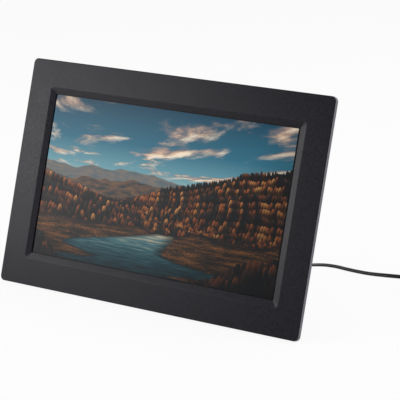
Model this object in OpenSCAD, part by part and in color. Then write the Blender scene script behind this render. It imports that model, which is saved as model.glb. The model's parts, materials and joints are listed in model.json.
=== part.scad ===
// Digital photo frame: a wide flat display on two rubber feet and a folding rear leg,
// with its flat power lead and wall adapter.
// Millimetres, +Z up. The screen faces -Y and leans back.
// The origin is on the standing surface, under the middle of the frame and its opened leg.

/* [Screen] */
// Width of the picture
screen_w = 222.7; // [200:0.1:240]
// Height of the picture
screen_h = 125.3; // [112:0.1:135]
// How far the display module reaches past the picture at each side
module_side = 6.2; // [5.2:0.1:6.8]
// How far the display module reaches past the picture at the top and bottom
module_end = 8.9; // [8:0.1:10]
// Thickness of the glass cell
cell_t = 1; // [0.8:0.1:1.2]
// Thickness of the light guide
guide_t = 2; // [1.6:0.1:2.4]
// Thickness of the stack of diffusing films
films_t = 0.5; // [0.3:0.1:0.7]
// Thickness of the backlight tray's sheet metal
tray_t = 0.4; // [0.3:0.1:0.6]

/* [Front bezel] */
// Width of the plastic border round the picture
border_w = 26.5; // [25:0.5:30]
// Width of the slope that leads down to the picture
bevel_w = 5; // [3:0.5:8]
// Depth of that slope
bevel_d = 1; // [0.5:0.1:1.2]
// Width of the dark strip between the slope and the picture
mask_w = 0.5; // [0.3:0.1:1]
// Thickness of the front plate
face_t = 1.6; // [1.5:0.1:2]
// Depth of the side walls
rim_d = 3.2; // [2.8:0.1:3.6]
// Thickness of the side walls
rim_t = 1.8; // [1.4:0.1:2]
// Radius of the outer corners
corner_r = 4; // [3:0.5:8]
// Radius of the front edges
edge_r = 0.6; // [0.3:0.1:1]

/* [Rear cover] */
// Wall thickness of the rear cover
cover_t = 1.8; // [1.4:0.1:2.2]
// Distance from the front face to the cover's flat back
cover_y = 15; // [14.6:0.1:16]
// How far the cover's slanted edges run inwards
hip_w = 13; // [11:0.5:14]
// Half width of the raised housing
hump_half = 70; // [66:1:76]
// Height of the raised housing's lower edge
hump_z = 30; // [26:1:31]
// Height of the raised housing's upper edge
hump_top = 118; // [117:1:122]
// Distance from the front face to the back of the raised housing
hump_y = 25; // [24.8:0.1:26]
// How far the housing's sides lean inwards
hump_draft = 3; // [1:0.5:4]
// Corner radius of the raised housing
hump_r = 8; // [5:0.5:10]

/* [Stand] */
// Angle at which the screen leans back
tilt = 16.4; // [12:0.1:20]
// Angle at which the opened leg leans out
leg_lean = 20; // [16:0.5:22]
// Height of the hinge above the frame's lower edge
hinge_z = 108; // [106:0.5:109]
// Width of the leg
leg_w = 36; // [32:1:40]
// Thickness of the leg
leg_t = 4.2; // [4:0.1:4.5]
// Radius of the hinge barrel
barrel_r = 3; // [2.8:0.1:3.2]
// Radius of the hinge pin
pin_r = 1.5; // [1.2:0.1:1.8]
// Thickness of the leg's rubber pad at its thin side
pad_t = 3.2; // [2.5:0.1:4]
// Distance of each rubber foot's middle in from the frame's side
foot_in = 42.85; // [32.85:0.05:67.85]
// Width of each rubber foot
foot_w = 22; // [16:1:30]
// Height of the front edge's underside above the standing surface
edge_gap = 0.4; // [0.3:0.1:1]

/* [Keys] */
// Distance of the row of keys in from the frame's side
key_in = 37.85; // [34.85:0.05:43.85]
// Distance of the middle key below the frame's upper edge
key_drop = 59.3; // [58.3:0.1:61.3]
// Distance between two keys
key_pitch = 11; // [10:0.1:11.2]
// Width of a key cap
key_w = 8; // [7:0.1:9]
// Height of a key cap
key_h = 5; // [4.5:0.1:6]
// How far a cap stands out of the cover
key_out = 1.2; // [0.8:0.1:1.6]
// Travel of a key
key_travel = 0.5; // [0.3:0.05:0.6]

/* [Wall hangers] */
// Distance of each keyhole from the middle
hanger_x = 60; // [40:1:70]
// Distance of the keyholes' entry holes below the frame's upper edge
hanger_drop = 31.3; // [30.3:0.1:32.3]
// Radius of the entry hole
entry_r = 4.6; // [4.4:0.1:5]
// Width of the slot that the screw's neck slides in
slot_w = 4.6; // [4.4:0.1:4.6]

/* [Fits] */
// Gap all round between two housings
fit_gap = 0.2; // [0.1:0.05:0.3]
// Gap between pieces that move past each other
move_gap = 0.3; // [0.25:0.05:0.4]
// Radial gap of the pin in the leg
pin_gap = 0.05; // [0.02:0.01:0.08]
// Radial gap of a screw or a plug in its hole
screw_gap = 0.05; // [0.02:0.01:0.1]

/* [Power lead] */
// Width of the flat lead
lead_w = 3.2; // [2.8:0.1:3.6]
// Thickness of the flat lead
lead_t = 1.8; // [1.6:0.1:2]
// Radius of the plug's metal barrel
plug_r = 1.75; // [1.5:0.05:2]
// Length of the plug's metal barrel
plug_len = 11; // [10:0.5:12]
// Radius of the plug's grip
grip_r = 4; // [3.5:0.1:4]
// Length of the plug's grip
grip_len = 18; // [15:1:22]
// Length of the plug's tapered strain relief
relief_len = 14; // [12:1:18]
// Middle radius of the coiled lead
coil_r = 19.1; // [18.5:0.1:19.5]

/* [Wall adapter] */
// Width of the adapter
adapter_w = 30; // [28:1:34]
// Length of the adapter without its pins
adapter_l = 56; // [50:1:62]
// Thickness of the adapter
adapter_t = 24; // [22:1:28]
// Radius of a mains pin
mains_r = 2; // [1.9:0.05:2.1]
// Length of a mains pin
mains_len = 19; // [17:0.5:20]
// Distance between the mains pins
mains_pitch = 19; // [18:0.5:20]

/* [Hidden] */
$fn = 64;
KEYS = ["power_key", "menu_key", "up_key", "down_key", "left_key", "right_key", "enter_key"];

// Overall front outline
body_w = screen_w + 2 * border_w;
body_h = screen_h + 2 * border_w;
mid_z = body_h / 2;
foot_x = body_w / 2 - foot_in;
key_x = body_w / 2 - key_in;
key_mid_z = body_h - key_drop;
hanger_z = body_h - hanger_drop;

// Depths of the display's layers, from the front face backwards
gasket_t = 0.3;
polarizer_t = 0.2;
reflector_t = 0.2;
polarizer_y = face_t + gasket_t;
cell_y = polarizer_y + polarizer_t;
films_y = cell_y + cell_t;
guide_y = films_y + films_t;
reflector_y = guide_y + guide_t;
tray_y = reflector_y + reflector_t;
tray_back = tray_y + tray_t;
module_w = screen_w + 2 * module_side;
module_h = screen_h + 2 * module_end;
tray_wall = 0.8;
cell_edge = 4.5;
layer_edge = 3.5;
film_edge = 3;

// Brackets that hold the display down, on bosses of the bezel
bracket_t = 0.8;
bracket_w = 10;
bracket_in = 7;
bracket_boss_r = 2.6;
bracket_x = module_w / 2 + bracket_boss_r + 2.6;
bracket_rise = 39;
bracket_z = [mid_z - bracket_rise, mid_z + bracket_rise];
lcd_screw_len = 4;
boss_floor = 0.6;
rib_t = 1.5;
rib_len = 14;

// Screws: shank radius, head radius and head height of each size
case_screw = [1.2, 2.4, 1.6];
board_screw = [1, 2, 1.5];
small_screw = [0.75, 1.5, 1.1];

// Rear cover
cover_half = body_w / 2 - rim_t - fit_gap;
cover_low = rim_t + fit_gap;
cover_high = body_h - rim_t - fit_gap;
cover_in = cover_y - cover_t;
flange_y = face_t + fit_gap;
hip_slope = hip_w / (cover_y - rim_d);
column_r = 4.5;
column_y = 5;
column_floor = 1.8;
case_boss_r = 3.2;
screw_in_x = 10.85;
screw_in_z = 10.5;
screw_points = [
    for (x = [-body_w / 2 + screw_in_x, 0, body_w / 2 - screw_in_x])
        for (z = [screw_in_z, body_h - screw_in_z]) [x, z]
];
hump_in = hump_y - cover_t;

// Stand: the hinge sits in a trough of the raised housing
trough_floor = hump_y - leg_t - 1.3;
trough_half = leg_w / 2 + 2 * move_gap;
hinge_y = trough_floor + 0.4 + barrel_r;
trough_top = hinge_z + barrel_r + 3.5;
lug_t = 5.6;
washer_t = 0.5;
lug_in = trough_half - lug_t;
barrel_half = lug_in - washer_t - move_gap;
pin_half = trough_half - 0.6;
pin_seat = 0.02;
leg_front = -(barrel_r - 0.1);
leg_back = leg_front + leg_t;
shoulder = barrel_r + 1.4;
open_angle = tilt + leg_lean;
heel_front = 1;
heel_h = (hinge_y - trough_floor - move_gap - heel_front * cos(open_angle)) / sin(open_angle);

// Standing surface, in the leaning frame and in the leg
lift = rim_d * sin(tilt) + edge_gap;
hinge_up = hinge_z * cos(tilt) - hinge_y * sin(tilt) + lift;
function floor_z(y) = (y * sin(tilt) - lift) / cos(tilt);
function leg_floor(y) = -(hinge_up + y * sin(leg_lean)) / cos(leg_lean);
leg_end = leg_floor(leg_front) + pad_t;
hinge_back = hinge_y * cos(tilt) + hinge_z * sin(tilt);
rear_most = hinge_back + leg_back * cos(leg_lean) - leg_floor(leg_back) * sin(leg_lean);
front_most = edge_r * (cos(tilt) + sin(tilt) - 1);
mid_y = (front_most + rear_most) / 2;
foot_front = 4.2;
foot_back = 10;

// Main board, behind the display and inside the raised housing
board_t = 1.6;
board_y = trough_floor - cover_t - 1.5 - board_t;
board_back = board_y + board_t;
board_half = hump_half - 6;
board_low = hump_z + 6;
board_high = hump_top - 8;
board_mid = (board_low + board_high) / 2;
post_r = 3;
post_in = 4;
post_points = [
    for (x = [-board_half + post_in, board_half - post_in])
        for (z = [board_low + post_in, board_high - post_in]) [x, z]
];

// Parts on the main board's front face, from its middle. Chips, coils and sockets: place,
// width, height and depth. Capacitors: place.
chips = [
    [12, 6, 15, 15, 1.4], [38, 8, 10, 12, 1.1], [12, 26, 14, 8, 1.1], [-18, 24, 8, 6, 1.2],
    [-46, 4, 7, 7, 3], [-46, 18, 7, 7, 3], [0, -28, 20, 5, 1.6], [48, 30, 9, 5, 2]
];
capacitors = [[-34, -8], [-42, -18], [30, -18]];
capacitor_r = 2.5;
capacitor_h = 4.6;
coin_place = [-22, -2];
coin_r = 6.2;
plug_t = 2;
plug_h = 4;

// Leads from the main board to the loudspeakers, in pairs
wire_r = 0.5;
wire_gap = 0.8;
wire_x = 47;
wire_plug_w = 6;
wire_z = board_low + plug_h;

// Sockets in the housing's sides
jack_z = hump_z + 18;
jack_size = 6.2;
jack_y = board_back + jack_size / 2;
jack_len = 13;
jack_bore = 10;
jack_hole_r = 3;
wall_inset = hump_draft * (jack_y - cover_y) / (hump_y - cover_y);
socket_face = hump_half - hump_draft - cover_t + 0.2;
card_z = hump_z + 43;
card_w = 26;
card_t = 2.9;
card_len = 28;
card_wall = 0.3;
usb_z = hump_z + 20;
usb_w = 8;
usb_t = 3;
usb_len = 8;
usb_wall = 0.4;

// Keys and their board
key_hole_gap = move_gap;
key_flange = 0.8;
key_flange_y = cover_in - move_gap - key_flange;
key_nub = 0.4;
switch_t = 1.2;
plunger_t = 0.25;
key_pcb_t = 1.2;
key_pcb_w = 14;
switch_top = key_flange_y - key_nub - key_travel - move_gap;
key_pcb_back = switch_top - plunger_t - switch_t;
key_pcb_y = key_pcb_back - key_pcb_t;
key_count = len(KEYS);
key_end = key_pitch * (key_count - 1) / 2 + key_h / 2 + 5;
key_pcb_half = key_end + 3.5;

// Loudspeakers
speaker_in = 39.85;
speaker_x = body_w / 2 - speaker_in;
speaker_z = 38;
speaker_w = 30;
speaker_h = 20;
speaker_t = 4.2;
magnet_r = 7;
magnet_t = 1.6;

// Wall hangers
slot_len = 9;
hanger_t = 1;
hanger_w = 26;
hanger_h = 22;
hanger_mid = hanger_z + slot_len / 2 - 1;

// Plug: the barrel's inner hole clears the jack's centre pin
jack_pin_r = 0.6;
plug_wall_gap = 0.3;
grip_x = hump_half - wall_inset + plug_wall_gap + 1;
relief_end_x = grip_x + grip_len + relief_len;

// Wall adapter, lying beside the coil
adapter_x = 198;
adapter_y = 136;
adapter_wall = 1.8;
adapter_split = 13;
relief_z = 7;
adapter_relief_len = 14;
pin_z = adapter_split;
pin_neck = 7;
pin_neck_r = mains_r - 0.4;

// Routes of the lead: from the plug to the coil, and from the coil to the adapter
function placed_point(p) = [
    p.x, p.y * cos(tilt) + p.z * sin(tilt) - mid_y, p.z * cos(tilt) - p.y * sin(tilt) + lift
];
coil_x = 146;
coil_y = 172.5;
coil_low = 0.45;
coil_rows = 2;
coil_columns = 4;
row_h = 2;
straight = 6;
coil_half_w = coil_columns * lead_w / 2 + 0.2;
coil_h = coil_rows * row_h + 0.1;
run_route = [
    placed_point([-relief_end_x, jack_y, jack_z]),
    placed_point([-relief_end_x - straight, jack_y, jack_z]), [-116, -11.5, 39],
    [-122, -7, 33], [-126, 0, 24.5], [-128, 10, 15], [-127, 19, 8], [-124, 29, 3], [-117, 39, 1],
    [-107, 48, 1], [-94, 56, 1], [-79, 63, 1], [-62, 69, 1], [-45, 74.5, 1], [-28, 80, 1],
    [-10, 87, 1], [7, 96, 1], [22, 107, 1], [35, 118.5, 1.05], [47, 128, 1.2],
    [56, 133.3, 1.3], [66, 134.8, 1.3], [76, 133.3, 1.35], [85, 132.4, 1.35], [95, 132, 1.4],
    [103, 132.9, 1.45], [112, 134.7, 1.6], [122, 137.2, 1.7], [132, 140.8, 1.6],
    [142, 144.9, 1.5], [150, 148.2, 1.45]
];
// How far the run's wide side is turned up from level, at each X along it
run_turns = [[30, 0], [56, 26], [100, 38], [120, 80], [126, 80], [150, 0]];
tail_route = [
    [169.9, 174.5, 3.5], [170.3, 182, 3], [172, 190, 2.2], [176, 196, 1.6],
    [182.5, 199, 1.8], [190, 198, 3.4], [196, 192, 6],
    [adapter_x, adapter_y + adapter_l / 2 + adapter_relief_len + straight, relief_z],
    [adapter_x, adapter_y + adapter_l / 2 + adapter_relief_len, relief_z]
];
lead_sides = 8;
rings_per_step = 2;

// ---------------------------------------------------------------- placing

// From the upright frame, front face at Y = 0 and lower edge at Z = 0, to where it leans
module placed() translate([0, -mid_y, lift]) rotate([-tilt, 0, 0]) children();

// From the leg's own frame, hanging down from the hinge axis, to its opened place
module in_leg() placed() translate([0, hinge_y, hinge_z]) rotate([open_angle, 0, 0]) children();

// ---------------------------------------------------------------- shapes

// A plate that starts at depth y, with its outline drawn in X and Z
module plate(y, t) translate([0, y + t, 0]) rotate([90, 0, 0]) linear_extrude(t) children();

// A bar along X from x to x + len, with its section drawn in Y and Z
module bar(x, len) translate([x, 0, 0]) rotate([90, 0, 90]) linear_extrude(len) children();

// A round rod along Y that starts at depth y
module rod(p, y, len, r) translate([p[0], y + len, p[1]]) rotate([90, 0, 0]) cylinder(h = len, r = r);

// A round rod along X
module cross_rod(x, y, z, len, r) translate([x, y, z]) rotate([0, 90, 0]) cylinder(h = len, r = r);

module block(low, high) translate(low) cube(high - low);

module round_rect(w, h, r) {
    square([w - 2 * r, h], center = true);
    square([w, h - 2 * r], center = true);
    for (x = [-1, 1], z = [-1, 1]) translate([x * (w / 2 - r), z * (h / 2 - r)]) circle(r);
}

module ring_rect(w_out, h_out, w_in, h_in) difference() {
    square([w_out, h_out], center = true);
    square([w_in, h_in], center = true);
}

// A layer of the display, past the picture by edge all round
module layer(y, t, edge) translate([0, 0, mid_z])
    plate(y, t) square([screen_w + 2 * edge, screen_h + 2 * edge], center = true);

// A slot with round ends, length across X
module slot(len, w) {
    square([len - w, w], center = true);
    for (x = [-1, 1]) translate([x * (len - w) / 2, 0]) circle(w / 2);
}

// A keyhole: entry hole with a slot that runs up from it
module keyhole(r, w, len) {
    circle(r);
    translate([-w / 2, 0]) square([w, len - w / 2]);
    translate([0, len - w / 2]) circle(w / 2);
}

// A box whose four sides lean inwards behind y_knee, in two crossed runs of its profile
module hipped(half, low, high, y_front, y_knee, y_back, inset) intersection() {
    translate([0, 0, low]) linear_extrude(high - low) polygon([
        [-half, y_front], [half, y_front], [half, y_knee],
        [half - inset, y_back], [inset - half, y_back], [-half, y_knee]
    ]);
    bar(-half, 2 * half) polygon([
        [y_front, low], [y_knee, low], [y_back, low + inset],
        [y_back, high - inset], [y_knee, high], [y_front, high]
    ]);
}

// A screw along Y with its head at the back and its tip towards the front
module screw(p, seat, size, len) {
    rod(p, seat, size[2], size[1]);
    rod(p, seat - len, len, size[0]);
}

// A screw along Y with its head at the front and its tip towards the back
module screw_back(p, seat, size, len) {
    rod(p, seat - size[2], size[2], size[1]);
    rod(p, seat, len, size[0]);
}

// ---------------------------------------------------------------- front

// Points round the bezel's front edge, from the front face out to the side at `reach`
function edge_points(reach) = concat(
    [for (a = [0:15:90]) [reach - edge_r + edge_r * sin(a), edge_r - edge_r * cos(a)]],
    [[reach, rim_d]]
);

// The same profile on both sides of the middle, `half` out from it
function edge_profile(half) = concat(
    edge_points(half),
    [for (i = [7:-1:0]) [-edge_points(half)[i][0], edge_points(half)[i][1]]]
);

// One corner of the bezel, with its rounded front edge
module corner_post() rotate([-90, 0, 0])
    rotate_extrude(angle = 90, $fn = 32) polygon(concat([[0, rim_d], [0, 0]], edge_points(corner_r)));

module bezel_outer() {
    side = body_w / 2 - corner_r;
    top = body_h / 2 - corner_r;
    translate([0, 0, mid_z]) {
        translate([0, 0, -top]) linear_extrude(2 * top) polygon(edge_profile(body_w / 2));
        bar(-side, 2 * side) polygon([for (p = edge_profile(body_h / 2)) [p[1], p[0]]]);
        for (turn = [0, 1, 2, 3])
            translate([turn < 2 ? side : -side, 0, turn % 3 == 0 ? -top : top])
                rotate([0, -90 * turn, 0]) corner_post();
    }
}

// The slope down to the picture
module bevel_cut() {
    half_w = screen_w / 2 + mask_w;
    half_h = screen_h / 2 + mask_w;
    over = 1;
    slope = bevel_w / bevel_d;
    intersection() {
        translate([0, 0, mid_z - half_h - bevel_w - over * slope])
            linear_extrude(2 * (half_h + bevel_w + over * slope)) polygon([
                [-half_w, bevel_d], [half_w, bevel_d],
                [half_w + bevel_w + over * slope, -over], [-half_w - bevel_w - over * slope, -over]
            ]);
        bar(-half_w - bevel_w - over * slope, 2 * (half_w + bevel_w + over * slope)) polygon([
            [bevel_d, mid_z - half_h], [bevel_d, mid_z + half_h],
            [-over, mid_z + half_h + bevel_w + over * slope],
            [-over, mid_z - half_h - bevel_w - over * slope]
        ]);
    }
}

module locating_ribs() {
    gap = move_gap;
    for (x = [-1, 1], z = [-1, 1]) {
        corner = [x * (module_w / 2 + gap), mid_z + z * (module_h / 2 + gap)];
        side = [corner[0] + x * rib_t / 2, corner[1] - z * (rib_len - rib_t) / 2];
        end = [corner[0] - x * rib_len / 2, corner[1] + z * rib_t / 2];
        translate([side[0], 0, side[1]])
            plate(face_t, tray_back - face_t - 1) square([rib_t, rib_len + rib_t], center = true);
        translate([end[0], 0, end[1]])
            plate(face_t, tray_back - face_t - 1) square([rib_len, rib_t], center = true);
    }
}

module front_bezel() color("#2e2e30") placed() {
    difference() {
        bezel_outer();
        bevel_cut();
        translate([0, 0, mid_z]) plate(-1, face_t + 2)
            square([screen_w + 2 * mask_w, screen_h + 2 * mask_w], center = true);
        translate([0, 0, mid_z]) plate(face_t, rim_d)
            round_rect(body_w - 2 * rim_t, body_h - 2 * rim_t, corner_r - rim_t);
    }
    locating_ribs();
    for (p = screw_points) difference() {
        rod(p, face_t, column_y - face_t, case_boss_r);
        rod(p, face_t + boss_floor, column_y, case_screw[0] + screw_gap);
    }
    for (x = [-bracket_x, bracket_x], z = bracket_z) difference() {
        rod([x, z], face_t, tray_back - face_t, bracket_boss_r);
        rod([x, z], face_t + boss_floor, tray_back, board_screw[0] + screw_gap);
    }
}

module screen_gasket() color("#161616") placed() translate([0, 0, mid_z])
    plate(face_t, gasket_t) ring_rect(
        screen_w + 2 * cell_edge - 1, screen_h + 2 * cell_edge - 1,
        screen_w + 2 * mask_w + 1, screen_h + 2 * mask_w + 1
    );

module front_polarizer() color("#7fa0aa") placed() layer(polarizer_y, polarizer_t, film_edge);

module lcd_cell() color("#39424a") placed() layer(cell_y, cell_t, cell_edge);

module diffuser_films() color("#f2f2ee") placed() layer(films_y, films_t, layer_edge);

module light_guide() color("#dfeaf0") placed() layer(guide_y, guide_t, layer_edge);

module reflector_sheet() color("#ffffff") placed() layer(reflector_y, reflector_t, layer_edge);

module backlight_tray() color("#b9bcc0") placed() translate([0, 0, mid_z]) {
    plate(tray_y, tray_t) square([module_w, module_h], center = true);
    plate(films_y, tray_y - films_y) ring_rect(
        module_w, module_h, module_w - 2 * tray_wall, module_h - 2 * tray_wall
    );
}

// Row of light-emitting diodes along the guide's lower edge
module led_strip() color("#f5e9b0") placed() {
    top = mid_z - screen_h / 2 - layer_edge - 0.2;
    low = mid_z - module_h / 2 + tray_wall + 0.3;
    strip_t = 0.3;
    count = 18;
    pitch = screen_w / count;
    block([-screen_w / 2, tray_y - strip_t, low], [screen_w / 2, tray_y, top]);
    for (i = [0:count - 1]) {
        x = (i + 0.5) * pitch - screen_w / 2;
        block([x - 1.9, guide_y + 0.2, top - 1.4], [x + 1.9, tray_y - strip_t, top]);
    }
}

// Flat cable that wraps from the glass round the tray's lower edge to the driver board
flex_t = 0.2;
flex_half = 22;
driver_y = tray_back + 0.6;
driver_t = 0.8;
driver_low = mid_z - module_h / 2 + 3;
driver_h = 14;
driver_half = 48;
module lcd_flex() color("#b9772f") placed() {
    front = films_y - flex_t;
    top = mid_z - screen_h / 2 - cell_edge;
    low = mid_z - module_h / 2 - 0.3;
    back = driver_y - flex_t;
    bar(-flex_half, 2 * flex_half) polygon([
        [front, top], [front, low - flex_t], [back + flex_t, low - flex_t],
        [back + flex_t, driver_low + 6], [back, driver_low + 6], [back, low],
        [front + flex_t, low], [front + flex_t, top]
    ]);
}

module driver_board() color("#1f5a3a") placed() block(
    [-driver_half, driver_y, driver_low],
    [driver_half, driver_y + driver_t, driver_low + driver_h]
);

// Flat cable from the driver board up to the main board's connector
link_t = 0.3;
link_half = 9;
link_end = board_low + 6;
module display_cable() color("#d8d5c8") placed() {
    start = driver_y + driver_t;
    back = board_y - 1.2;
    bar(-link_half, 2 * link_half) polygon([
        [start, driver_low + 6], [start + link_t, driver_low + 6],
        [start + link_t, driver_low + driver_h], [back, link_end - 2], [back, link_end],
        [back - link_t, link_end], [back - link_t, link_end - 2],
        [start, driver_low + driver_h + 0.3]
    ]);
}

module lcd_brackets() color("#c2c4c7") placed()
    for (x = [-1, 1], z = bracket_z) difference() {
        outer = bracket_x + bracket_boss_r;
        inner = module_w / 2 - bracket_in;
        translate([x * (outer + inner) / 2, 0, z])
            plate(tray_back, bracket_t) round_rect(outer - inner, bracket_w, 1);
        rod([x * bracket_x, z], tray_back - 1, 4, board_screw[0] + screw_gap);
    }

module lcd_screws() color("#9b9da0") placed()
    for (x = [-bracket_x, bracket_x], z = bracket_z)
        screw([x, z], tray_back + bracket_t, board_screw, lcd_screw_len);

// ---------------------------------------------------------------- rear cover

module cover_outer() intersection() {
    hipped(cover_half, cover_low, cover_high, flange_y, rim_d, cover_y, hip_w);
    translate([0, 0, mid_z]) plate(flange_y - 1, cover_y + 2)
        round_rect(2 * cover_half, cover_high - cover_low, corner_r - rim_t);
}

module cover_inner() {
    depth = cover_in - rim_d;
    knee = rim_d - cover_t * (sqrt(1 + hip_slope * hip_slope) - 1) / hip_slope;
    inset = (cover_in - knee) * hip_slope;
    hipped(
        cover_half - cover_t, cover_low + cover_t, cover_high - cover_t,
        flange_y - 1, knee, cover_in, inset
    );
}

module hump_outer() intersection() {
    hipped(hump_half, hump_z, hump_top, cover_in, cover_y, hump_y, hump_draft);
    translate([0, 0, (hump_z + hump_top) / 2])
        plate(cover_in - 1, hump_y) round_rect(2 * hump_half, hump_top - hump_z, hump_r);
}

module hump_inner() intersection() {
    hipped(
        hump_half - cover_t, hump_z + cover_t, hump_top - cover_t,
        cover_in - 1, cover_y, hump_in, hump_draft * (hump_in - cover_y) / (hump_y - cover_y)
    );
    translate([0, 0, (hump_z + hump_top) / 2]) plate(cover_in - 2, hump_y)
        round_rect(2 * (hump_half - cover_t), hump_top - hump_z - 2 * cover_t, hump_r - cover_t);
}

module trough(grow) block(
    [-trough_half - grow, trough_floor - grow, hump_z - 20],
    [trough_half + grow, hump_y + 5, trough_top + grow]
);

module cover_cavity() difference() {
    union() {
        cover_inner();
        hump_inner();
    }
    trough(cover_t);
    for (p = screw_points) rod(p, column_y, cover_y, column_r);
    for (p = post_points) rod(p, board_back, hump_y, post_r);
    for (s = [-1, 1])
        rod([key_x, key_mid_z + s * key_end], key_pcb_back, cover_y, small_screw[1] + 0.6);
}

// Slots in front of a loudspeaker, longest in the middle
module speaker_grille() for (i = [-2:2])
    translate([0, 3.2 * i]) slot(24 - 3 * i * i, 1.4);

module vents() for (x = [-1, 1], i = [0:5])
    translate([x * (trough_half + hump_half - hump_draft) / 2, hump_top - 18 - 4 * i]) slot(30, 1.6);

module cover_holes() {
    for (p = screw_points) {
        rod(p, column_y + column_floor, cover_y + 5, case_screw[1] + 0.3);
        rod(p, column_y - 1, 4, case_screw[0] + screw_gap);
    }
    for (p = post_points) rod(p, board_back - 1, 6, board_screw[0] + screw_gap);
    for (s = [-1, 1])
        rod([key_x, key_mid_z + s * key_end], key_pcb_back - 1, 4, small_screw[0] + screw_gap);
    for (i = [0:key_count - 1]) translate([key_x, 0, key_height(i)])
        plate(cover_in - 1, cover_t + 2)
            round_rect(key_w + 2 * key_hole_gap, key_h + 2 * key_hole_gap, 1 + key_hole_gap);
    for (x = [-1, 1]) {
        translate([x * speaker_x, 0, speaker_z]) plate(cover_in - 1, cover_t + 2) speaker_grille();
        translate([x * hanger_x, 0, hanger_z])
            plate(cover_in - 1, cover_t + 2) keyhole(entry_r + 0.8, slot_w + 1.6, slot_len + 0.8);
        for (p = hanger_screw_points(x)) rod(p, cover_in - 1, 2.1, small_screw[0] + screw_gap);
    }
    plate(hump_in - 2, cover_t + 4) vents();
    cross_rod(-hump_half - 1, jack_y, jack_z, 8, jack_hole_r);
    block(
        [hump_half - 8, board_back + 0.2, card_z - card_w / 2 + 0.5],
        [hump_half + 1, board_back + card_t - 0.1, card_z + card_w / 2 - 0.5]
    );
    block(
        [hump_half - 8, board_back - 0.1, usb_z - usb_w / 2 - 0.3],
        [hump_half + 1, board_back + usb_t + 0.3, usb_z + usb_w / 2 + 0.3]
    );
}

// Two lugs in the trough that carry the hinge pin
module hinge_lugs() for (s = [-1, 1]) {
    x = s > 0 ? lug_in : -trough_half;
    difference() {
        union() {
            cross_rod(x, hinge_y, hinge_z, lug_t, barrel_r);
            block(
                [x, trough_floor, hinge_z - barrel_r],
                [x + lug_t, hinge_y, hinge_z + barrel_r]
            );
        }
        cross_rod(-pin_half - 0.1, hinge_y, hinge_z, 2 * pin_half + 0.2, pin_r + pin_seat);
    }
}

module rear_cover() color("#262628") placed() {
    difference() {
        union() {
            cover_outer();
            hump_outer();
        }
        cover_cavity();
        trough(0);
        cover_holes();
    }
    hinge_lugs();
}

module cover_screws() color("#8d8f92") placed()
    for (p = screw_points) screw(p, column_y + column_floor, case_screw, 4.2);

// ---------------------------------------------------------------- electronics

module main_board() color("#17603c") placed() difference() {
    block([-board_half, board_y, board_low], [board_half, board_back, board_high]);
    for (p = post_points) rod(p, board_y - 1, board_t + 2, board_screw[0] + 2 * screw_gap);
}

// Chips, coils, capacitors and connectors on the board's front face
module board_parts() color("#3a3a3c") placed() {
    for (c = chips) translate([c[0], 0, board_mid + c[1]])
        plate(board_y - c[4], c[4]) square([c[2], c[3]], center = true);
    for (p = capacitors)
        rod([p[0], board_mid + p[1]], board_y - capacitor_h, capacitor_h, capacitor_r);
    for (x = [-1, 1]) translate([x * (wire_x - 1), 0, wire_z])
        plate(board_y - plug_t, plug_t) square([wire_plug_w, plug_h], center = true);
    translate([0, 0, link_end + plug_h / 2]) plate(board_y - plug_t, plug_t)
        square([2 * link_half + 3, plug_h], center = true);
}

module coin_cell() color("#cfd1d3") placed()
    rod([coin_place[0], board_mid + coin_place[1]], board_y - plug_t, plug_t, coin_r);

module board_screws() color("#9b9da0") placed()
    for (p = post_points) screw_back(p, board_y, board_screw, board_t + 4.5);

module power_jack() color("#1b1b1d") placed() {
    x = -socket_face;
    difference() {
        block(
            [x, board_back, jack_z - jack_size / 2],
            [x + jack_len, board_back + jack_size, jack_z + jack_size / 2]
        );
        cross_rod(x - 1, jack_y, jack_z, jack_bore + 1, plug_r + screw_gap);
    }
    cross_rod(x + 1.5, jack_y, jack_z, jack_bore - 1.5, jack_pin_r);
}

// A thin metal shell that is open towards +X
module socket_shell(z, w, t, len, wall) {
    x = socket_face - len;
    difference() {
        block([x, board_back, z - w / 2], [socket_face, board_back + t, z + w / 2]);
        block(
            [x + wall, board_back + wall, z - w / 2 + wall],
            [socket_face + 1, board_back + t - wall, z + w / 2 - wall]
        );
    }
}

module card_socket() color("#c6c8cb") placed() socket_shell(card_z, card_w, card_t, card_len, card_wall);

module usb_socket() color("#c6c8cb") placed() {
    socket_shell(usb_z, usb_w, usb_t, usb_len, usb_wall);
    block(
        [socket_face - usb_len + usb_wall, board_back + usb_t / 2 - 0.3, usb_z - usb_w / 2 + 1.6],
        [socket_face - 1.5, board_back + usb_t / 2 + 0.3, usb_z + usb_w / 2 - 1.6]
    );
}

// ---------------------------------------------------------------- keys

function key_height(i) = key_mid_z + ((key_count - 1) / 2 - i) * key_pitch;

module key_board() color("#17603c") placed() difference() {
    translate([key_x, 0, key_mid_z])
        plate(key_pcb_y, key_pcb_t) square([key_pcb_w, 2 * key_pcb_half], center = true);
    for (s = [-1, 1]) rod(
        [key_x, key_mid_z + s * key_end], key_pcb_y - 1, 4, small_screw[0] + 2 * screw_gap
    );
}

module key_switches() color("#d5d6d8") placed() for (i = [0:key_count - 1]) {
    translate([key_x, 0, key_height(i)])
        plate(key_pcb_back, switch_t) square([6, 4], center = true);
    rod([key_x, key_height(i)], key_pcb_back + switch_t, plunger_t, 1.2);
}

module key_board_screws() color("#9b9da0") placed() for (s = [-1, 1])
    screw_back([key_x, key_mid_z + s * key_end], key_pcb_y, small_screw, key_pcb_t + 2.4);

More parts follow.
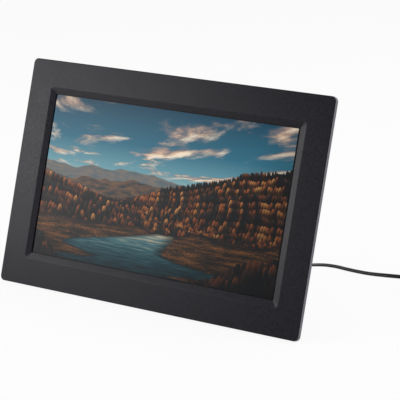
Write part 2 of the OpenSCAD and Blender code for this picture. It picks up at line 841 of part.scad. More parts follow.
// Flat cable from the key board to the main board
key_link_drop = 27;
key_link_z = key_mid_z - key_link_drop;
key_link_w = 8;
key_link_seat = 8;
key_link_flat = 6;
module key_cable() color("#d8d5c8") placed() {
    end = board_half - key_link_seat;
    path = [
        [key_x - key_pcb_w / 2 + 3, key_pcb_y], [hump_half + key_link_flat, key_pcb_y],
        [end + key_link_flat, board_y], [end, board_y]
    ];
    translate([0, 0, key_link_z]) linear_extrude(key_link_w) polygon(concat(
        path, [for (i = [len(path) - 1:-1:0]) path[i] - [0, link_t]]
    ));
}

// One key: a cap through the cover, a flange that holds it in and a nub over its switch
module key(i) placed() translate([key_x, 0, key_height(i)]) {
    plate(key_flange_y, key_flange)
        round_rect(key_w + 2.4, min(key_h + 2.4, key_pitch - 1), 1);
    plate(key_flange_y + key_flange, cover_y + key_out - key_flange_y - key_flange)
        round_rect(key_w, key_h, 1);
    rod([0, 0], key_flange_y - key_nub, key_nub, 1.5);
}

// ---------------------------------------------------------------- sound

module speaker(s) placed() translate([s * speaker_x, 0, speaker_z]) {
    difference() {
        plate(cover_in - speaker_t, speaker_t) round_rect(speaker_w, speaker_h, 4);
        plate(cover_in - 1, 2) round_rect(speaker_w - 3, speaker_h - 3, 3);
    }
    rod([0, 0], cover_in - speaker_t - magnet_t, magnet_t, magnet_r);
}

module left_speaker() color("#202022") speaker(-1);

module right_speaker() color("#202022") speaker(1);

module speaker_leads() color("#a02020") placed() {
    y = cover_in - speaker_t + 2 * wire_r;
    end = speaker_x - speaker_w / 2;
    for (s = [-1, 1], d = [-wire_gap, wire_gap]) {
        z = wire_z + d;
        cross_rod(s > 0 ? wire_x : -end, y, z, end - wire_x, wire_r);
        translate([s * wire_x, y, z]) sphere(r = wire_r);
        rod([s * wire_x, z], y, board_y - plug_t - y, wire_r);
    }
}

// ---------------------------------------------------------------- wall hangers

function hanger_screw_points(s) = [
    for (d = [-1, 1]) [s * hanger_x + d * (hanger_w / 2 - 2.5), hanger_mid]
];

module hanger_plates() color("#c2c4c7") placed() for (s = [-1, 1]) difference() {
    translate([s * hanger_x, 0, hanger_mid])
        plate(cover_in - hanger_t, hanger_t) round_rect(hanger_w, hanger_h, 2);
    translate([s * hanger_x, 0, hanger_z])
        plate(cover_in - hanger_t - 1, hanger_t + 2) keyhole(entry_r, slot_w, slot_len);
    for (p = hanger_screw_points(s))
        rod(p, cover_in - hanger_t - 1, hanger_t + 2, small_screw[0] + screw_gap);
}

module hanger_screws() color("#9b9da0") placed() for (s = [-1, 1], p = hanger_screw_points(s))
    screw_back(p, cover_in - hanger_t, small_screw, hanger_t + 1);

// ---------------------------------------------------------------- stand

// Feet between the cover's lower slanted edge and the standing surface
function hip_z(y) = cover_low + (y - rim_d) * hip_slope;
module rubber_feet() color("#151515") placed() for (s = [-1, 1])
    bar(s * foot_x - foot_w / 2, foot_w) polygon([
        [foot_front, floor_z(foot_front)], [foot_back, floor_z(foot_back)],
        [foot_back, hip_z(foot_back)], [foot_front, hip_z(foot_front)]
    ]);

module stand_leg() color("#29292b") in_leg() difference() {
    mid = (leg_end - shoulder) / 2;
    length = -shoulder - leg_end;
    rim = 2.5;
    union() {
        difference() {
            translate([0, 0, mid]) plate(leg_front, leg_t) round_rect(leg_w, length, 1.5);
            for (s = [-1, 1]) translate([0, 0, mid + s * (length / 4 - rim / 4)])
                plate(leg_front - 1, 1 + leg_t - 2)
                    round_rect(leg_w - 2 * rim, length / 2 - 1.5 * rim, 2);
        }
        block([-barrel_half, leg_front, -shoulder - 2], [barrel_half, leg_back, 0]);
        block([-barrel_half, -heel_front, 0], [barrel_half, heel_front, heel_h]);
        cross_rod(-barrel_half, 0, 0, 2 * barrel_half, barrel_r);
    }
    cross_rod(-barrel_half - 1, 0, 0, 2 * barrel_half + 2, pin_r + pin_gap);
}

module leg_pad() color("#151515") in_leg() bar(-leg_w / 2, leg_w) polygon([
    [leg_front, leg_end], [leg_front, leg_floor(leg_front)],
    [leg_back, leg_floor(leg_back)], [leg_back, leg_end]
]);

module stand_pin() color("#c9cbcd") placed()
    cross_rod(-pin_half, hinge_y, hinge_z, 2 * pin_half, pin_r);

module friction_washers() color("#d9dbdd") placed()
    for (x = [-lug_in, lug_in - washer_t]) difference() {
        cross_rod(x, hinge_y, hinge_z, washer_t, barrel_r - 0.2);
        cross_rod(x - 1, hinge_y, hinge_z, washer_t + 2, pin_r + pin_gap);
    }

// ---------------------------------------------------------------- power lead

module plug_barrel() color("#d0d2d4") placed() {
    x = -grip_x;
    difference() {
        cross_rod(x, jack_y, jack_z, plug_len, plug_r);
        cross_rod(x + 1, jack_y, jack_z, plug_len, jack_pin_r + 0.1);
    }
}

module plug_grip() color("#1a1a1b") placed()
    cross_rod(-grip_x - grip_len, jack_y, jack_z, grip_len, grip_r);

module plug_relief() color("#1a1a1b") placed()
    translate([-relief_end_x, jack_y, jack_z]) rotate([0, 90, 0])
        cylinder(h = relief_len, r1 = lead_w / 2 + 0.5, r2 = grip_r - 0.6);

// A smooth curve through a route's points
function route_point(p, i) = i < 0 ? 2 * p[0] - p[1]
    : i >= len(p) ? 2 * p[len(p) - 1] - p[len(p) - 2] : p[i];
function between(a, b, c, d, u) = 0.5 * (2 * b + (c - a) * u
    + (2 * a - 5 * b + 4 * c - d) * u * u + (3 * b - a - 3 * c + d) * u * u * u);
function smooth(p) = concat(
    [for (i = [0:len(p) - 2], k = [0:rings_per_step - 1]) between(
        route_point(p, i - 1), p[i], p[i + 1], route_point(p, i + 2), k / rings_per_step)],
    [p[len(p) - 1]]
);
function unit(v) = v / norm(v);
function heading(line, i) = i == 0 ? line[1] - line[0]
    : i == len(line) - 1 ? line[i] - line[i - 1] : line[i + 1] - line[i - 1];

// A flat tube along a route, its wide side level but for the turns, each [X, angle]
module lead(route, turns = [[0, 0]]) {
    line = smooth(route);
    count = len(line);
    points = [for (i = [0:count - 1])
        let (
            along = unit(i % rings_per_step > 0 ? heading(line, i) : heading(route, i / rings_per_step)),
            level = unit(cross(along, [0, 0, 1])),
            turn = lookup(line[i].x, turns),
            across = level * cos(turn) - cross(level, along) * sin(turn),
            up = cross(across, along)
        )
        for (k = [0:lead_sides - 1]) line[i]
            + across * cos(360 * k / lead_sides) * lead_w / 2
            + up * sin(360 * k / lead_sides) * lead_t / 2
    ];
    sides = [for (i = [0:count - 2], k = [0:lead_sides - 1])
        let (a = i * lead_sides, n = (k + 1) % lead_sides)
        [a + k, a + n, a + lead_sides + n, a + lead_sides + k]
    ];
    near = [for (k = [0:lead_sides - 1]) lead_sides - 1 - k];
    far = [for (k = [0:lead_sides - 1]) (count - 1) * lead_sides + k];
    polyhedron(points, concat([near], sides, [far]), convexity = 10);
}

module cord_run() color("#141414") lead(run_route, run_turns);

module cord_tail() color("#141414") lead(tail_route);

module cord_coil() color("#141414") translate([coil_x, coil_y, coil_low])
    rotate_extrude() translate([coil_r, coil_h / 2]) round_rect(2 * coil_half_w, coil_h, 0.9);

module coil_tie() color("#3c3c3e") translate([coil_x - coil_r, coil_y, coil_low + coil_h / 2]) {
    tie_t = 0.4;
    tie_w = 6;
    side_gap = 0.5;
    rotate([90, 0, 0]) translate([0, 0, -tie_w / 2]) linear_extrude(tie_w) ring_rect(
        2 * (coil_half_w + side_gap + tie_t), coil_h + 2 * tie_t,
        2 * (coil_half_w + side_gap), coil_h
    );
}

// ---------------------------------------------------------------- wall adapter

module adapter_relief() color("#1a1a1b")
    translate([adapter_x, adapter_y + adapter_l / 2, relief_z]) rotate([-90, 0, 0])
        cylinder(h = adapter_relief_len, r1 = 3.6, r2 = lead_w / 2 + 0.4);

// One half of the adapter's housing, hollow from low to high
module adapter_shell(low, high, inner_low, inner_high) difference() {
    translate([adapter_x, adapter_y, low])
        linear_extrude(high - low) round_rect(adapter_w, adapter_l, 3);
    translate([adapter_x, adapter_y, inner_low]) linear_extrude(inner_high - inner_low)
        round_rect(adapter_w - 2 * adapter_wall, adapter_l - 2 * adapter_wall, 3 - adapter_wall);
    for (s = [-1, 1]) translate([adapter_x + s * mains_pitch / 2, adapter_y, pin_z])
        rotate([90, 0, 0]) cylinder(h = adapter_l, r = pin_neck_r + screw_gap);
}

module adapter_base() color("#1f1f21")
    adapter_shell(0, adapter_split, adapter_wall, adapter_split + 1);

module adapter_lid() color("#1f1f21")
    adapter_shell(adapter_split, adapter_t, adapter_split - 1, adapter_t - adapter_wall);

module adapter_board() color("#8a6a3a") {
    low = adapter_wall;
    block(
        [adapter_x - adapter_w / 2 + 3, adapter_y - adapter_l / 2 + 9, low],
        [adapter_x + adapter_w / 2 - 3, adapter_y + adapter_l / 2 - 4, low + board_t]
    );
    translate([adapter_x, adapter_y + 2, low + board_t]) linear_extrude(12)
        square([16, 15], center = true);
    for (x = [-6, 5]) translate([adapter_x + x, adapter_y + 17, low + board_t])
        cylinder(h = 11, r = 4);
}

// Round mains pins, each with a thinner neck through the housing's end wall
module adapter_pins() color("#d3d5d7") for (s = [-1, 1])
    translate([adapter_x + s * mains_pitch / 2, adapter_y - adapter_l / 2, pin_z]) {
        rotate([90, 0, 0]) cylinder(h = mains_len, r = mains_r);
        rotate([-90, 0, 0]) cylinder(h = pin_neck, r = pin_neck_r);
    }

// ---------------------------------------------------------------- drawing

module power_key() color("#3b3b3e") key(0);
module menu_key() color("#3b3b3e") key(1);
module up_key() color("#3b3b3e") key(2);
module down_key() color("#3b3b3e") key(3);
module left_key() color("#3b3b3e") key(4);
module right_key() color("#3b3b3e") key(5);
module enter_key() color("#3b3b3e") key(6);

front_bezel();
screen_gasket();
front_polarizer();
lcd_cell();
diffuser_films();
light_guide();
reflector_sheet();
backlight_tray();
led_strip();
lcd_flex();
driver_board();
display_cable();
lcd_brackets();
lcd_screws();
rear_cover();
cover_screws();
main_board();
board_parts();
coin_cell();
board_screws();
power_jack();
card_socket();
usb_socket();
key_board();
key_switches();
key_board_screws();
key_cable();
power_key();
menu_key();
up_key();
down_key();
left_key();
right_key();
enter_key();
left_speaker();
right_speaker();
speaker_leads();
hanger_plates();
hanger_screws();
rubber_feet();
stand_leg();
leg_pad();
stand_pin();
friction_washers();
plug_barrel();
plug_grip();
plug_relief();
cord_run();
cord_coil();
cord_tail();
coil_tie();
adapter_relief();
adapter_base();
adapter_lid();
adapter_board();
adapter_pins();
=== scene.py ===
import json
from math import copysign, cos, hypot, pi, radians, sin

import bmesh
import bpy
from mathutils import Matrix, Vector


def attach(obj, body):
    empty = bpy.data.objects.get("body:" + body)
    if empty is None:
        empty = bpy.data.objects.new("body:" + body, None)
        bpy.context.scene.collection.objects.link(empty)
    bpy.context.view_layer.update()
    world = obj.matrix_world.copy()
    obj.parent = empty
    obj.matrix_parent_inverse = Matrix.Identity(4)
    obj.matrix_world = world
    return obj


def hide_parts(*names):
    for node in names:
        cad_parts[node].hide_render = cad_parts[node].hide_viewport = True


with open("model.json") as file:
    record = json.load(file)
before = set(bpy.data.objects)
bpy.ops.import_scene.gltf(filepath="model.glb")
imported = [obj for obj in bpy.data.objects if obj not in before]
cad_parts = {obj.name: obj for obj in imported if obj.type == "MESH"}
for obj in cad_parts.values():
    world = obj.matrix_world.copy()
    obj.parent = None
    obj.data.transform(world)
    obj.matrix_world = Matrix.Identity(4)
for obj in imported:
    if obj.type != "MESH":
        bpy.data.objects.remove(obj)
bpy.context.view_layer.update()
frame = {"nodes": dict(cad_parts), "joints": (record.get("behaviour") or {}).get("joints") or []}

# ---- camera


def new_object(name, data):
    made = bpy.data.objects.new(name, data)
    bpy.context.scene.collection.objects.link(made)
    return made


def aim(seer, place, target):
    """Puts a camera or a lamp at a place and turns it to a target."""
    seer.location = place
    seer.rotation_mode = "QUATERNION"
    seer.rotation_quaternion = (Vector(target) - Vector(place)).to_track_quat("-Z", "Y")


CAMERA_TARGET = Vector((0.0537, -0.04491, 0.0945))
CAMERA_AZIMUTH = radians(33.9)
CAMERA_HEIGHT = radians(14.7)
CAMERA_DISTANCE = 1.3921
CAMERA_LENS = 172.04


def add_camera():
    data = bpy.data.cameras.new("camera")
    data.lens, data.sensor_width = CAMERA_LENS, 36
    data.clip_start, data.clip_end = 0.05, 20
    camera = new_object("camera", data)
    back = Vector((
        sin(CAMERA_AZIMUTH) * cos(CAMERA_HEIGHT),
        -cos(CAMERA_AZIMUTH) * cos(CAMERA_HEIGHT),
        sin(CAMERA_HEIGHT),
    ))
    aim(camera, CAMERA_TARGET + back * CAMERA_DISTANCE, CAMERA_TARGET)
    bpy.context.scene.camera = camera


add_camera()

# ---- places and sizes

MM = 0.001

# The device is drawn upright, in millimetres: X to the right, Y to the back from the front
# face, Z up from the lower edge. LEAN leans it back to where it stands. The lead and the
# adapter are drawn where they lie, and FLAT only brings them to metres.
JOINTS = {joint["name"]: joint for joint in frame["joints"]}
BACK = -Vector(JOINTS["power_key_press"]["axis"])
UP = Vector((0, -BACK.z, BACK.y))
HINGE_Y, HINGE_Z = 22.9, 108
LEAN = Matrix((
    (MM, 0, 0, 0),
    (0, BACK.y * MM, UP.y * MM, 0),
    (0, BACK.z * MM, UP.z * MM, 0),
    (0, 0, 0, 1),
))
LEAN.translation = Vector(JOINTS["leg_hinge"]["pos_m"]) - LEAN @ Vector((0, HINGE_Y, HINGE_Z))
FLAT = Matrix.Diagonal((MM, MM, MM, 1))
# Drawn as seen from behind: X to the left, Y up, Z out of the back
FROM_BEHIND = Matrix(((-1, 0, 0, 0), (0, 0, 1, 0), (0, 1, 0, 0), (0, 0, 0, 1)))


def at(x, y, z, turn=0, axis="X"):
    """A place, turned by so many degrees about an axis."""
    return Matrix.Translation((x, y, z)) @ Matrix.Rotation(radians(turn), 4, axis)


SCREEN_W, SCREEN_H = 222.7, 125.3
BORDER = 26.5
BODY_W, BODY_H = SCREEN_W + 2 * BORDER, SCREEN_H + 2 * BORDER
MID_Z = BODY_H / 2
MODULE_HALF_W, MODULE_HALF_H = SCREEN_W / 2 + 6.2, SCREEN_H / 2 + 8.9
BEVEL_W, BEVEL_D = 5, 1
MASK_W = 0.5
DARK_END = 1.3
FACE_T = 1.6
RIM_D, RIM_T = 3.2, 1.8
CORNER_R = 4
EDGE_R = 0.6
# Places of the cover's screws from the middle of the body
SCREW_X, SCREW_Z = BODY_W / 2 - 10.85, BODY_H / 2 - 10.5

COVER_Y, HUMP_Y = 15, 25
HUMP_HALF, HUMP_LOW, HUMP_HIGH, HUMP_DRAFT = 70, 30, 118, 3
COVER_HALF, COVER_LOW, COVER_HIGH, HIP_W = 135.85, 2, 176.3, 13

# ---- making pieces

SEAM = 0.001
PANEL_BREADTH = 1.2
SAME_SIDE = cos(radians(35))


def shade_panels(mesh):
    """Broad flat faces shade flat, and the rounds between them blend."""
    corners = [corner.vector.copy() for corner in mesh.corner_normals]
    panels = {}
    for face in mesh.polygons:
        rim = sum((mesh.vertices[a].co - mesh.vertices[b].co).length for a, b in face.edge_keys)
        if face.area > PANEL_BREADTH * MM * rim:
            for vertex in face.vertices:
                panels.setdefault(vertex, []).append(face.normal.copy())
    for face in mesh.polygons:
        for corner, vertex in zip(face.loop_indices, face.vertices):
            nearest = max(panels.get(vertex, ()), key=face.normal.dot, default=None)
            if nearest and nearest.dot(face.normal) > SAME_SIDE:
                corners[corner] = nearest
    mesh.normals_split_custom_set(corners)


def new_mesh(name, bm):
    mesh = bpy.data.meshes.new(name)
    bm.to_mesh(mesh)
    bm.free()
    return mesh


def add_piece(name, bm, material, slot, *replaces, place=LEAN, body="frame", sharp=35,
              outward=True):
    """Turns a bmesh into a finished piece that rides on a body and replaces CAD nodes."""
    if outward:
        bmesh.ops.recalc_face_normals(bm, faces=bm.faces)
    bm.transform(place)
    mesh = new_mesh(name, bm)
    if "custom_normal" in mesh.attributes:
        mesh.attributes.remove(mesh.attributes["custom_normal"])
    mesh.shade_smooth()
    mesh.set_sharp_from_angle(angle=radians(sharp))
    shade_panels(mesh)
    mesh.materials.append(material)
    piece = new_object(name, mesh)
    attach(piece, body)
    if replaces:
        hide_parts(*replaces)
    return piece


def merge(bm, part, place):
    """Adds a shape of its own to another, at its place."""
    part.transform(place)
    scratch = new_mesh("scratch", part)
    bm.from_mesh(scratch)
    bpy.data.meshes.remove(scratch)


def verts_of(geom):
    return [g for g in geom if isinstance(g, bmesh.types.BMVert)]


def faces_of(verts):
    return list({f for v in verts for f in v.link_faces})


def thicken(bm, faces, height):
    """Extrudes faces along Z and returns the vertices of their far side."""
    far = verts_of(bmesh.ops.extrude_face_region(bm, geom=faces)["geom"])
    bmesh.ops.translate(bm, vec=(0, 0, height), verts=far)
    return far


def scaled(x, y, z=1):
    return Matrix.Diagonal((x, y, z, 1))


def square(bm, size, matrix=Matrix()):
    """The vertices of a new flat square across Z."""
    return bmesh.ops.create_grid(bm, x_segments=1, y_segments=1, size=size,
                                 matrix=matrix)["verts"]


def box(bm, one, other):
    """A block between two opposite corners."""
    low, high = (Vector(map(pick, one, other)) for pick in (min, max))
    bmesh.ops.create_cube(bm, size=1, matrix=at(*(low + high) / 2) @ scaled(*(high - low)))


def turned(profile, steps=40):
    """A closed shape turned round Z from its profile of (radius, height)."""
    bm = bmesh.new()
    made = [bm.verts.new((r, 0, h)) for r, h in profile]
    line = [bm.edges.new(pair) for pair in zip(made, made[1:])]
    bmesh.ops.spin(bm, geom=made + line, cent=(0, 0, 0), axis=(0, 0, 1),
                   angle=2 * pi, steps=steps, use_merge=True)
    bmesh.ops.remove_doubles(bm, verts=bm.verts, dist=SEAM)
    return bm


def round_loop(bm, half_w, half_h, radius, depth, steps):
    """The edges of a rectangle with round corners, in X and Z at one depth."""
    corners = square(bm, 1, at(0, depth, 0, 90) @ scaled(half_w, half_h))
    rounded = bmesh.ops.bevel(
        bm, geom=corners, offset=radius, offset_type="OFFSET", segments=steps,
        profile=0.5, affect="VERTICES", material=-1, clamp_overlap=False,
    )
    face = max(rounded["faces"] + faces_of(rounded["verts"]), key=lambda f: f.calc_area())
    edges = list(face.edges)
    bmesh.ops.delete(bm, geom=[face], context="FACES_ONLY")
    return edges


def ring_stack(rings, steps=8):
    """A closed skin over rings of (half width, half height, corner radius, depth)."""
    bm = bmesh.new()
    edges = round_loop(bm, *rings[0], steps)
    for (w, h, r, _), (new_w, new_h, new_r, depth) in zip(rings, rings[1:] + rings[:1]):
        made = bmesh.ops.extrude_edge_only(bm, edges=edges)["geom"]
        edges = [g for g in made if isinstance(g, bmesh.types.BMEdge) and len(g.link_faces) == 1]
        for v in verts_of(made):
            side, top = copysign(1, v.co.x), copysign(1, v.co.z)
            out_x, out_z = (v.co.x - side * (w - r)) / r, (v.co.z - top * (h - r)) / r
            v.co = (side * (new_w - new_r) + out_x * new_r, depth,
                    top * (new_h - new_r) + out_z * new_r)
    bmesh.ops.remove_doubles(bm, verts=bm.verts, dist=SEAM)
    return bm


# ---- line of the power lead

LEAD_W, LEAD_T = 3.2, 1.8
RUN_ROUTE = [
    (-102.01, -12.843, 41.901), (-108.01, -12.843, 41.901), (-116, -11.5, 39),
    (-122, -7, 33), (-126, 0, 24.5), (-128, 10, 15), (-127, 19, 8), (-124, 29, 3),
    (-117, 39, 1), (-107, 48, 1), (-94, 56, 1), (-79, 63, 1), (-62, 69, 1), (-45, 74.5, 1),
    (-28, 80, 1), (-10, 87, 1), (7, 96, 1), (22, 107, 1), (35, 118.5, 1.05), (47, 128, 1.2),
    (56, 133.3, 1.3), (66, 134.8, 1.3), (76, 133.3, 1.35), (85, 132.4, 1.35), (95, 132, 1.4),
    (103, 132.9, 1.45), (112, 134.7, 1.6), (122, 137.2, 1.7), (132, 140.8, 1.6),
    (142, 144.9, 1.5), (150, 148.2, 1.45),
]
# How far the run's wide side is turned up from level, in degrees, at each X along it
RUN_TURNS = [(30, 0), (56, 26), (100, 38), (120, 80), (126, 80), (150, 0)]
TAIL_ROUTE = [
    (170.3, 182, 3), (172, 190, 2.2), (176, 196, 1.6), (182.5, 199, 1.8), (190, 198, 3.4),
    (196, 192, 6), (198, 184, 7), (198, 178, 7), (198, 164, 7), (198, 150, 7),
]
COIL_CENTRE = Vector((146, 172.5, 0))
COIL_RADII = (23.9, 20.7, 17.5, 14.3)
ROW_LOW, ROW_HIGH = 1.45, 3.5
# Degrees round the coil: of a step, of its ends, and of the stretches where a turn moves in to
# the next, climbs to the upper row and moves out again
TURN_STEP = 8
COIL_START, COIL_END = -72, 2520
SHIFT_IN, CLIMB, SHIFT_OUT = (233, 285), (172, 226), (112, 166)
ROUTE_STEPS = 4


def ease(angle, stretch, turns=0):
    """0 before a stretch of the coil on one of its turns, 1 after it, and smooth between."""
    start, end = stretch
    t = min(1, max(0, (angle - 360 * turns - start) / (end - start)))
    return t * t * (3 - 2 * t)


def coil_points():
    """The lead's middle line through the coil: inwards on the lower row, outwards on the upper."""
    steps = [a - b for a, b in zip(COIL_RADII, COIL_RADII[1:])]
    inner = len(steps)
    points = []
    for angle in range(COIL_START, COIL_END + 1, TURN_STEP):
        radius = COIL_RADII[0]
        for i, step in enumerate(steps):
            radius -= step * ease(angle, SHIFT_IN, i)
        for i, step in enumerate(reversed(steps)):
            radius += step * ease(angle, SHIFT_OUT, inner + 1 + i)
        z = ROW_LOW + (ROW_HIGH - ROW_LOW) * ease(angle, CLIMB, inner)
        a = radians(angle)
        points.append(COIL_CENTRE + Vector((radius * cos(a), radius * sin(a), z)))
    return points


def between(a, b, c, d, u):
    """A point between b and c on the smooth curve through four points."""
    return 0.5 * (2 * b + (c - a) * u + (2 * a - 5 * b + 4 * c - d) * u * u
                  + (3 * b - a - 3 * c + d) * u ** 3)


def smooth_route(route):
    """A smooth curve through a route's points."""
    p = [Vector(q) for q in route]
    p = [2 * p[0] - p[1]] + p + [2 * p[-1] - p[-2]]
    line = [between(*p[i:i + 4], k / ROUTE_STEPS)
            for i in range(len(p) - 3) for k in range(ROUTE_STEPS)]
    return line + [p[-2]]


def turned_up(x):
    turn = 0
    for (start, low), (end, high) in zip(RUN_TURNS, RUN_TURNS[1:]):
        turn += (high - low) * min(1, max(0, (x - start) / (end - start)))
    return radians(turn)


COIL_LINE = coil_points()
RUN_LINE = smooth_route(RUN_ROUTE + COIL_LINE[:1])[:-1]
TAIL_LINE = smooth_route(COIL_LINE[-1:] + TAIL_ROUTE)[1:]
LINE = RUN_LINE + COIL_LINE + TAIL_LINE
TURNS = [turned_up(p.x) for p in RUN_LINE] + [0] * len(COIL_LINE + TAIL_LINE)

# ---- shader nodes


class Shader:
    """Adds nodes to the tree of its owner, a material, the world or a group, and joins them."""

    def __init__(self, tree, owner=None, surface=None):
        self.tree, self.owner, self.surface = tree, owner or tree, surface

    def add(self, kind, inputs=None, **settings):
        node = self.tree.nodes.new("ShaderNode" + kind)
        for name, value in settings.items():
            setattr(node, name, value)
        for name, value in (inputs or {}).items():
            self.put(node.inputs[name], value)
        return node

    def put(self, socket, value):
        if isinstance(value, bpy.types.NodeSocket):
            self.tree.links.new(value, socket)
        else:
            socket.default_value = value

    def dress(self, **looks):
        """Feeds the surface's sockets, or a group's outputs, and returns the owner."""
        for name, value in looks.items():
            self.put(self.surface[name.replace("_", " ")], value)
        return self.owner

    def use(self, group, **inputs):
        """The outputs of a node group with its own values."""
        values = {name.replace("_", " "): value for name, value in inputs.items()}
        return self.add("Group", values, node_tree=group).outputs

    def place(self):
        return self.add("TexCoord").outputs["Object"]

    def math(self, operation, *values, clamp=False):
        node = self.add("Math", dict(enumerate(values)), operation=operation, use_clamp=clamp)
        return node.outputs[0]

    def plus(self, one, two, clamp=False):
        return self.math("ADD", one, two, clamp=clamp)

    def minus(self, one, two):
        return self.math("SUBTRACT", one, two)

    def times(self, one, two, clamp=False):
        return self.math("MULTIPLY", one, two, clamp=clamp)

    def line(self, value, slope, start):
        """A value times a slope, plus a start."""
        return self.math("MULTIPLY_ADD", value, slope, start)

    def step(self, value, low, high):
        """0 below low, 1 above high, and smooth between."""
        node = self.add("MapRange", {"Value": value, "From Min": low, "From Max": high},
                        interpolation_type="SMOOTHSTEP")
        return node.outputs["Result"]

    def scale_to(self, value, low, high, to_low, to_high):
        return self.add("MapRange", {
            "Value": value, "From Min": low, "From Max": high, "To Min": to_low, "To Max": to_high,
        }).outputs["Result"]

    def noise(self, vector, scale, detail=3, roughness=0.5, distortion=0):
        return self.add("TexNoise", {
            "Vector": vector, "Scale": scale, "Detail": detail, "Roughness": roughness,
            "Distortion": distortion,
        }).outputs[0]

    def cells(self, vector, scale, randomness=1, **settings):
        return self.add("TexVoronoi", {
            "Vector": vector, "Scale": scale, "Randomness": randomness,
        }, **settings).outputs["Distance"]

    def mapping(self, vector, scale=(1, 1, 1), location=(0, 0, 0), rotation=(0, 0, 0)):
        return self.add("Mapping", {
            "Vector": vector, "Scale": scale, "Location": location, "Rotation": rotation,
        }).outputs[0]

    def join(self, x, y):
        return self.add("CombineXYZ", {"X": x, "Y": y}).outputs[0]

    def grey(self, level):
        return self.add("CombineColor", {"Red": level, "Green": level, "Blue": level}).outputs[0]

    def mix(self, share, one, two, blend="MIX"):
        node = self.add("Mix", data_type="RGBA", blend_type=blend)
        self.put(node.inputs["Factor"], share)
        self.put(node.inputs[6], one)
        self.put(node.inputs[7], two)
        return node.outputs[2]

    def ramp(self, share, stops):
        """Shades from one (position, red, green, blue) to the next."""
        node = self.add("ValToRGB", {"Fac": share})
        elements = node.color_ramp.elements
        elements.remove(elements[1])
        (position, *shade), *others = stops
        elements[0].position, elements[0].color = position, rgb(*shade)
        for position, *shade in others:
            elements.new(position).color = rgb(*shade)
        return node.outputs[0]

    def rays(self):
        """1 for the camera's rays, and 1 for those that gloss or glass sends on."""
        path = self.add("LightPath").outputs
        mirrored = self.math("MAXIMUM", path["Is Glossy Ray"], path["Is Transmission Ray"])
        return path["Is Camera Ray"], mirrored

    def bump(self, height, strength, distance):
        return self.add("Bump", {
            "Height": height, "Strength": strength, "Distance": distance * MM,
        }).outputs[0]


def rgb(red, green, blue):
    """A colour given as it is seen, from 0 to 255."""
    def linear(level):
        level /= 255
        return level / 12.92 if level <= 0.04045 else ((level + 0.055) / 1.055) ** 2.4
    return (linear(red), linear(green), linear(blue), 1)


def new_group(name, inputs, *outputs):
    """A shader node group: {input: its first value} in, and values out."""
    tree = bpy.data.node_groups.new(name, "ShaderNodeTree")
    for title, value in inputs.items():
        kind = "Vector" if isinstance(value, tuple) else "Float"
        socket = tree.interface.new_socket(title, in_out="INPUT",
                                           socket_type="NodeSocket" + kind)
        socket.default_value = value
    for title in outputs:
        tree.interface.new_socket(title, in_out="OUTPUT", socket_type="NodeSocketFloat")
    start, end = tree.nodes.new("NodeGroupInput"), tree.nodes.new("NodeGroupOutput")
    return Shader(tree, surface=end.inputs), start.outputs


# The grain's middle shade, about which it makes a surface rougher or glossier
MIDDLE_SHADE = 0.65


def make_moulded_grain():
    """The fine spark-eroded texture of a moulding, and its faint cloudiness."""
    s, given = new_group("moulded_grain", {
        "Grain Size": 0.4, "Speckle": 0.35, "Cloudiness": 0.15,
    }, "Height", "Shade")
    place = s.place()
    scale = s.math("DIVIDE", 1000, given["Grain Size"])
    coarse = s.noise(place, scale, 2, 0.6)
    fine = s.noise(place, s.times(scale, 2.3), 1)
    height = s.plus(s.times(coarse, 0.7), s.times(fine, 0.3))
    cloud = s.noise(place, 18, 3, 0.55)
    speck = s.times(s.scale_to(height, 0.35, 0.65, -0.5, 0.5), given["Speckle"])
    drift = s.times(s.minus(cloud, 0.5), given["Cloudiness"])
    return s.dress(Height=height, Shade=s.plus(s.plus(speck, drift), MIDDLE_SHADE))


def make_dust():
    """Dust that settles on what faces up, thicker in patches."""
    s, given = new_group("settled_dust", {"Amount": 0.2}, "Mask")
    place = s.place()
    facing = s.add("SeparateXYZ", {"Vector": s.add("NewGeometry").outputs["Normal"]}).outputs[2]
    lying = s.step(facing, 0.1, 0.95)
    patches = s.scale_to(s.noise(place, 55, 4, 0.65), 0.4, 0.75, 0.25, 1)
    specks = s.step(s.noise(place, 900, 2), 0.62, 0.75)
    mask = s.times(lying, s.plus(s.times(patches, 0.5), specks))
    return s.dress(Mask=s.times(mask, given["Amount"], clamp=True))


def make_handling():
    """Smudges and faint rubs that hands leave, as a change of gloss."""
    s, given = new_group("handling_marks", {"Strength": 0.1}, "Gloss Change")
    place = s.place()
    smudge = s.noise(place, 30, 4, 0.6, 0.8)
    streak = s.noise(s.mapping(place, (12, 90, 240), rotation=(0.3, 0.2, 0.6)),
                     1, 3, 0.7)
    rub = s.step(streak, 0.62, 0.78)
    change = s.plus(s.minus(smudge, 0.5), s.times(rub, -0.4))
    return s.dress(Gloss_Change=s.times(change, given["Strength"]))


def make_drawn_lines():
    """Fine parallel lines, as on rolled, turned or brushed metal."""
    s, given = new_group("drawn_lines", {
        "Along": (1, 0, 0), "Fineness": 2500,
    }, "Height", "Shade")
    place = s.place()
    squeezed = s.add("VectorMath", {0: place, 1: given["Along"]}, operation="MULTIPLY")
    lines = s.noise(squeezed.outputs[0], given["Fineness"], 3, 0.7)
    cloud = s.noise(place, 60, 2)
    return s.dress(Height=lines, Shade=s.plus(s.times(lines, 0.7), s.times(cloud, 0.3)))


GRAIN = make_moulded_grain()
DUST = make_dust()
HANDLING = make_handling()
DRAWN = make_drawn_lines()

DUST_SHADE = rgb(150, 146, 138)


def new_material(name, **fixed):
    """A material with its Principled shader; what is the same all over is set on its sockets."""
    material = bpy.data.materials.new(name)
    material.use_nodes = True
    tree = material.node_tree
    s = Shader(tree, material, tree.nodes["Principled BSDF"].inputs)
    s.dress(**fixed)
    return s


